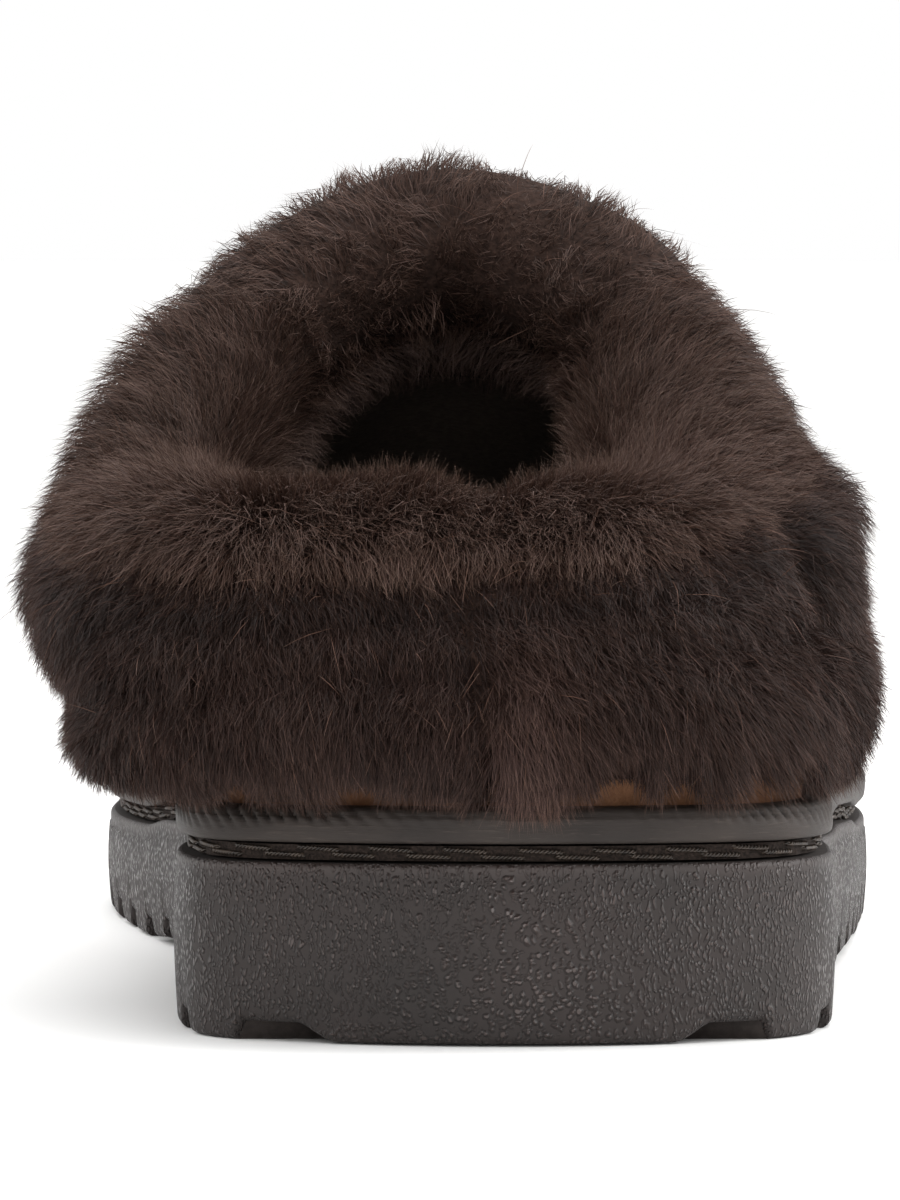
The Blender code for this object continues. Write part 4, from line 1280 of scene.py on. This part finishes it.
def strands(name, curve, face, width, shade, finish, along=STRAND_STEPS, taper=STRAND_TAPER):
    """A piece of fur: a tapered ribbon along each line. Its map holds a hair's shade and its length."""
    heading = unit(np.gradient(curve, axis=1))
    side = unit(np.cross(heading, face[:, None]))
    thick = (width[:, None] / 2 * taper)[..., None]
    left, right = curve - side * thick, curve + side * thick
    steps = len(along)
    pairs = np.stack([left, right], axis=2)[:, :-1].reshape(len(curve), -1, 3)
    points = np.concatenate([pairs, curve[:, -1:]], axis=1)
    each = points.shape[1]
    base = each * np.arange(len(curve))[:, None]
    quads = [base + np.array([2 * k, 2 * k + 1, 2 * k + 3, 2 * k + 2]) for k in range(steps - 2)]
    tips = base + np.array([2 * steps - 4, 2 * steps - 3, 2 * steps - 2])
    blocks = [np.vstack(quads), tips]
    fur = new_piece(name, blocks, points.reshape(-1, 3), [finish], solid=False)
    fur.data.shade_smooth()
    along = np.append(np.repeat(along[:-1], 2), 1.0)
    across = np.append(np.tile([-MAP_WIDTH, MAP_WIDTH], steps - 1), 0.0)
    own = shade[:, None]
    place = np.stack([own + across[None, :], along[None, :] + 0 * own], axis=-1).reshape(-1, 2)
    corners = np.concatenate([block.ravel() for block in blocks])
    layer = fur.data.uv_layers.new(name="OFBake")
    layer.data.foreach_set("uv", place[corners].astype(np.float32).ravel())
    return fur


def hem_limit(point):
    """The lowest that a hair's tip may hang: the top of the rand, higher where the suede shows."""
    limit = lasting(point[:, 1]) + RAND_HEIGHT + 0.0009 * waves(point, 41, 0.009, 0.0025)
    limit = limit + 0.0020 * ease(point[:, 0], 0.041, 0.046) * ease(point[:, 1], -0.015, 0.0)
    back = point[:, 1] < -0.012
    edge = WINDOW_EDGE
    for start, end, lift in HEM_WINDOWS:
        inside = ease(point[:, 0], start - edge, start + edge) * ease(-point[:, 0], -end - edge, -end + edge)
        limit = limit + lift * inside * back
    return limit


def fur_flow(root, round_, place, on_top):
    """How far the hairs turn aside, in radians: swirled, and parted at the seam and the fold."""
    swirl = 0.40 * waves(root, 11, 0.040, 0.016) + 0.30 * waves(root, 12, 0.012, 0.005)
    swirl = swirl * (1 + 1.3 * on_top)
    parted = 0.6 * np.exp(-np.abs(round_) / 0.006) * np.sign(round_) * ease(place, 0.0, 0.3)
    corner = round_ - FOLD_PLACE
    parted = parted + 0.45 * np.exp(-np.abs(corner) / 0.010) * np.sign(corner) * ease(place, 0.1, 0.3)
    return swirl + 0.85 * parted


def fur_lift(chance, root, place, outside, inside, instep, on_top):
    """How steeply each hair leaves the ground, in radians."""
    lift = np.radians(LIFT_CREST) + np.radians(LIFT_OUTSIDE - LIFT_CREST) * outside
    lift = lift + np.radians(LIFT_INSIDE - LIFT_CREST) * inside
    lift = lift - np.radians(LIFT_UNDER_RIM) * hump(place, 0.17, 0.10) * (1 - instep)
    lift = lift + (np.radians(LIFT_INSTEP) - lift) * on_top
    stray = chance.normal(0, np.radians(LIFT_STRAY), len(root))
    lift = lift + np.radians(LIFT_PATCHY) * waves(root, 13, 0.020, 0.008) + stray
    return np.clip(lift, *np.radians(LIFT_RANGE))


def fur_length(chance, root, round_, place, outside, inside, on_top):
    """The length of each hair before it is cut at the hem."""
    length = CREST_LENGTH + (FUR_LENGTH - CREST_LENGTH) * outside + (LINING_LENGTH - CREST_LENGTH) * inside
    own = np.clip(chance.normal(0.97, 0.10, len(root)), 0.6, 1.25)
    length = length * (1 - 0.25 * ease(-place, 0.5, 1.0)) * own
    length = length * (1 + 0.08 * waves(root, 14, 0.030, 0.012))
    # shorter on top of the instep, and along the seam at the back where the halves meet
    length = length * (1 - 0.28 * on_top)
    for across, half, change in INSTEP_TUFTS:
        length = length * (1 + change * on_top * hump(root[:, 0], across, half))
    length = length * (1 - 0.40 * hump(round_, 0, 0.0015) * ease(place, 0.0, 0.15))
    heel_edge = (root[:, 1] < 0.012) * hump(place, -0.03, 0.14)
    for across, half, change in HEEL_EDGE:
        length = length * (1 + change * heel_edge * hump(root[:, 0], across, half))
    # longer towards the hem, shorter in the fold
    length = length * (1 + 0.45 * ease(place, 0.66, 0.92))
    return length * (1 - 0.40 * hump(round_, FOLD_PLACE, 0.0030) * ease(place, 0.0, 0.2))


def fur_shade(chance, root, round_, place):
    """Each hair's shade, from 0, dark, to 1, pale: its own tone, with painted light and shade by place."""
    far, corner = np.abs(round_), round_ - FOLD_PLACE
    shade = 0.22 + 0.09 * chance.normal(size=len(root)) + 0.07 * waves(root, 15, 0.020, 0.007)
    # a broad random tone, and painted light: the hairs are drawn paler towards the sides
    shade = shade + 0.06 * waves(root, 16, 0.060, 0.035) + 0.20 * ease(far, 0.045, 0.085)
    # about one hair in nine is paler: random pale hairs that also stand in for painted glints
    shade = shade + 0.55 * (chance.uniform(size=len(root)) < 0.11)
    # painted shade in the parting along the centre-back seam
    seam = hump(round_, 0, 0.0013)
    shade = shade - 0.25 * seam * ease(place, 0.1, 0.2) * (1 - ease(place, 0.6, 0.8))
    # painted light: the top edge, most of all at the back of the heel, and the inside are drawn paler
    rim = 0.42 - 0.34 * ease(far, 0.060, 0.100)
    shade = shade + rim * hump(place, 0.01, 0.065) + 0.24 * ease(-place, 0.05, 0.2)
    # painted shade just under the rim, where the pile stands so that one looks into it
    shade = shade - 0.16 * hump(place, 0.22, 0.09) * (1 - ease(far, 0.045, 0.085))
    # painted highlight on the fold's ridge and painted shade in its crease
    ridge = hump(corner, -0.0045, 0.0035) - 1.2 * hump(corner, 0.0010, 0.0030)
    shade = shade + 0.20 * ridge * ease(place, 0.0, 0.2)
    # a worn grey patch beside the seam
    aside = (root[:, 0] - GREY_PATCH[0]) / GREY_SIZE[0]
    above = (root[:, 2] - GREY_PATCH[1]) / GREY_SIZE[1]
    grey = np.exp(-(aside**2) - above**2) * ease(round_, -0.0005, 0.0008)
    return np.clip(shade + 0.55 * grey * (root[:, 1] < 0), 0.01, 0.99)


def fur_zone(round_, place):
    """Which of FUR_PIECES each hair belongs to."""
    far = np.abs(round_)
    zone = np.where(place < LINING_ENDS, 5, np.where(place < CREST_ENDS, 4, 0))
    outer = zone == 0
    zone = np.where(outer & (round_ >= HEEL_ENDS), 1, zone)
    zone = np.where(outer & (round_ <= -HEEL_ENDS), 2, zone)
    zone = np.where(outer & (far > INSTEP_FROM), 3, zone)
    return np.where((zone == 4) & (far < HEEL_RIM), 6, zone)


def rooting():
    """The ground of the collar's hairs: its loop, its points, down, out, and each point's place."""
    loop = np.linspace(0, 2, LOOP_STEPS, endpoint=False)
    grid, place = pile_backing(loop)
    down, out = along_and_out(grid)
    return loop, grid, down, out, place[None, :] + 0 * loop[:, None]


def dress_fur(finishes):
    """The collar's fur: hairs rooted all over its ground, combed down outside and standing up inside."""
    chance = np.random.default_rng(7)
    loop, grid, down, out, place = rooting()
    loop_grid = loop[:, None] + 0 * place
    # densest at the heel, where it is seen closest, and along the hem
    near_back = hump(way_round(loop_grid), 0, 0.075)
    density = (0.36 + 0.9 * near_back) * np.where(place > 0.1, 1.0, np.where(place > -0.3, 0.95, 0.30))
    density = density * np.where(place > 0.94, 1.5, 1.0)
    # the loop's own value is carried as an angle, so that it stays whole across the back of the heel
    angle = np.pi * loop_grid
    found = spread_roots(chance, grid, density, HAIRS, [grid, out, down, place, np.cos(angle), np.sin(angle)])
    root, out, down, place, cosine, sine = found
    out, down = unit(out), unit(down)
    round_ = way_round((np.arctan2(sine, cosine) / np.pi) % 2)
    # down outside, outwards over the crest, up inside
    beside = np.cross(out, down)
    instep = ease(np.abs(round_), 0.140, 0.190)
    on_top = instep * ease(place, -0.30, -0.05) * (1 - ease(place, 0.3, 0.7))
    swirl = fur_flow(root, round_, place, on_top)
    way = unit(np.cos(swirl)[:, None] * down + np.sin(swirl)[:, None] * beside)
    outside = ease(place, -0.05, 0.25)
    inside = ease(-place, 0.05, 0.35)
    lift = fur_lift(chance, root, place, outside, inside, instep, on_top)
    length = fur_length(chance, root, round_, place, outside, inside, on_top)
    way = unit(way + chance.normal(0, 0.42, way.shape))
    curve = hairs(root, out, way, length, lift, HANGS + HANGS_OUTSIDE * outside, BENDS)
    curve = gather_tufts(root, curve, LARGE_TUFT, 0.10 + 0 * length, 1.3)
    curve = gather_tufts(root, curve, SMALL_TUFT, 0.18 + 0.30 * on_top, 1.4)
    pull = np.clip(chance.normal(0.14, 0.15, len(root)), 0.0, 0.7)
    curve = gather_tufts(root, curve, CLINGING, pull, 1.5)
    kink = chance.normal(0, 1, curve.shape) * STRAND_STEPS[None, :, None] * HAIR_KINK
    curve = curve + kink
    # nothing hangs below the hem's limit
    tip = curve[:, -1]
    limit = hem_limit(root) + chance.normal(0, 0.0006, len(root))
    room = (root[:, 2] - limit) / np.maximum(root[:, 2] - tip[:, 2], 1e-6)
    keep = np.where((tip[:, 2] < limit) & (place > 0.1), np.clip(room, 0.22, 1.0), 1.0)
    curve = root[:, None] + (curve - root[:, None]) * keep[:, None, None]
    face = unit(out + chance.normal(0, 0.45, out.shape))
    width = HAIR_WIDTH * np.clip(chance.normal(1.0, 0.22, len(root)), 0.5, 1.6)
    shade = fur_shade(chance, root, round_, place)
    zone = fur_zone(round_, place)
    for number, (name, finish) in enumerate(FUR_PIECES):
        mine = zone == number
        strands(name, curve[mine], face[mine], width[mine], shade[mine], finishes[finish])


def dress_footbed_pile(finish):
    """Short curly pile on the footbed."""
    chance = np.random.default_rng(23)
    grid = footbed_grid(*FOOTBED_PILE_GRID)
    down = unit(np.gradient(grid, axis=0))
    beside = unit(np.gradient(grid, axis=1))
    out = unit(np.cross(beside, down))
    out = out * np.sign(out[..., 2:3])
    y = grid[..., 1]
    density = 0.35 + 0.65 * ease(-y, -0.12, -0.06)
    root, out, down = spread_roots(chance, grid, density, FOOTBED_HAIRS, [grid, out, down], closed=False)
    turn = 3.1 * waves(root, 24, 0.020, 0.006)
    beside = np.cross(out, down)
    curl = np.cos(turn)[:, None] * down + np.sin(turn)[:, None] * beside
    way = unit(curl + chance.normal(0, 0.4, down.shape))
    count = len(root)
    length = FOOTBED_PILE * np.clip(chance.normal(1, 0.2, count), 0.5, 1.5)
    lift = np.clip(np.radians(48) + chance.normal(0, np.radians(16), count), 0.2, 1.5)
    curve = hairs(root, out, way, length, lift, 0.0 * length, -0.3)
    curve = gather_tufts(root, curve, FOOTBED_TUFT, np.full(count, 0.6), 1.2)
    face = unit(out + chance.normal(0, 0.5, out.shape))
    width = HAIR_WIDTH * 1.5 * np.ones(count)
    shade = np.clip(0.45 + 0.16 * chance.normal(size=count), 0.01, 0.99)
    strands("footbed_pile", curve, face, width, shade, finish)


def dress_flyaways(finish):
    """Long guard hairs that stand clear of the fur: few, thin and paler."""
    chance = np.random.default_rng(31)
    loop, grid, down, out, place = rooting()
    near_back = hump(way_round(loop)[:, None], 0, 0.06)
    # most of them stand on the top edge of the heel
    density = 0.35 + near_back * (0.8 + 5.0 * hump(place, 0, 0.12))
    density = np.where(place > -0.2, 1.0, 0.02) * density
    root, out, down, place = spread_roots(chance, grid, density, FLYAWAYS, [grid, out, down, place])
    count = len(root)
    way = unit(down + chance.normal(0, 0.7, down.shape))
    lift = np.clip(np.radians(42) + chance.normal(0, np.radians(16), count), 0.2, 1.4)
    length = FUR_LENGTH * np.clip(chance.normal(1.35, 0.2, count), 0.8, 2.0)
    curve = hairs(root, unit(out), way, length, lift, 0.18 + 0 * length, 0.1, GUARD_STEPS)
    tip = curve[:, -1]
    limit = hem_limit(root)
    keep = np.where((tip[:, 2] < limit) & (place > 0.1), 0.35, 1.0)
    curve = root[:, None] + (curve - root[:, None]) * keep[:, None, None]
    face = unit(out + chance.normal(0, 0.5, out.shape))
    shade = np.clip(0.6 + 0.2 * chance.normal(size=count), 0.01, 0.99)
    width = HAIR_WIDTH * 0.7 * np.ones(count)
    strands("guard_hairs", curve, face, width, shade, finish, GUARD_STEPS, GUARD_TAPER)


def set_stage():
    """A pale floor, a white surround, four soft lights, a soft sun and the camera of the photograph."""
    world = bpy.data.worlds.new("white_surround")
    world.use_nodes = True
    surround = world.node_tree.nodes["Background"]
    surround.inputs["Color"].default_value = srgb("#ffffff")
    surround.inputs["Strength"].default_value = 1.0
    bpy.context.scene.world = world
    made, tree, shader, mm = new_material("studio_floor", Roughness=0.7, Specular_IOR_Level=0.2)
    cloud = add(tree, "TexNoise", None, {"Vector": mm, "Scale": 0.004, "Detail": 2.0})
    pale = {"stops": [(0.3, "#fbfaf9"), (0.7, "#fdfdfc")]}
    tone = add(tree, "ValToRGB", pale, {"Fac": cloud.outputs["Fac"]})
    feed(shader, Base_Color=tone)
    mesh = bpy.data.meshes.new("floor")
    corner = 2 * np.pi * np.arange(64) / 64
    ring = [(FLOOR_RADIUS * math.cos(a), FLOOR_RADIUS * math.sin(a), 0.0) for a in corner]
    mesh.from_pydata(ring, [], [list(range(64))])
    mesh.materials.append(made)
    floor = bpy.data.objects.new("floor", mesh)
    bpy.context.scene.collection.objects.link(floor)
    for name, place, size, watts in SOFT_LIGHTS:
        lamp = bpy.data.lights.new(name, "AREA")
        lamp.shape = "RECTANGLE"
        lamp.size, lamp.size_y = size
        lamp.energy = watts
        box = bpy.data.objects.new(name, lamp)
        box.location = place
        aim = Vector(LIGHTS_AIM) - Vector(place)
        box.rotation_euler = aim.to_track_quat("-Z", "Y").to_euler()
        bpy.context.scene.collection.objects.link(box)
    sky = bpy.data.lights.new("overhead", "SUN")
    sky.energy = OVERHEAD
    sky.angle = math.radians(OVERHEAD_ANGLE)
    above = bpy.data.objects.new("overhead", sky)
    bpy.context.scene.collection.objects.link(above)
    camera = bpy.data.cameras.new("photo_camera")
    camera.lens = LENS
    camera.sensor_width = 36.0
    camera.sensor_fit = "AUTO"
    eye = bpy.data.objects.new("photo_camera", camera)
    eye.location = EYE
    eye.rotation_euler = (math.radians(90 - EYE_DOWN), 0.0, 0.0)
    bpy.context.scene.collection.objects.link(eye)
    bpy.context.scene.camera = eye
    bpy.context.scene.view_settings.view_transform = "Standard"


def dress_slipper():
    """Every piece in its own finish. The board in the groove keeps its solid's shape."""
    dress_sole(moulded_foam(), tread_foam())
    dress_rand(rand_leather())
    dress_seam(waxed_thread())
    board = stitched_board()
    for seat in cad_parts["midsole"].material_slots:
        seat.material = board
    dress_upper(brown_suede(), knitted_backing("lining_backing", "#63574e", "#83766b"))
    dress_footbed(knitted_backing("footbed_backing", "#2a211d", "#4a3d37"))
    dress_undercoat(knitted_backing("fur_backing", "#1d1512", "#3c2d27"))
    fur = pile_fibre("plush_fur", "#231816", "#48352f", "#8a6d60", 0.6)
    # the lining's fibre is a paler copy of the fur's: painted light inside the slipper
    lining = pile_fibre("plush_lining_lit", "#3a2b25", "#79645b", "#a38b7d", 0.65)
    # the top edge's fibre is a paler copy of the fur's: painted light on the rim
    dress_fur((fur, lining, pile_fibre("plush_rim_lit", "#2c211d", "#5a453c", "#a08778", 0.6)))
    dress_footbed_pile(lining)
    dress_flyaways(pile_fibre("guard_hair", "#3a2a24", "#76594b", "#a88e80", 0.45))


dress_slipper()
set_stage()
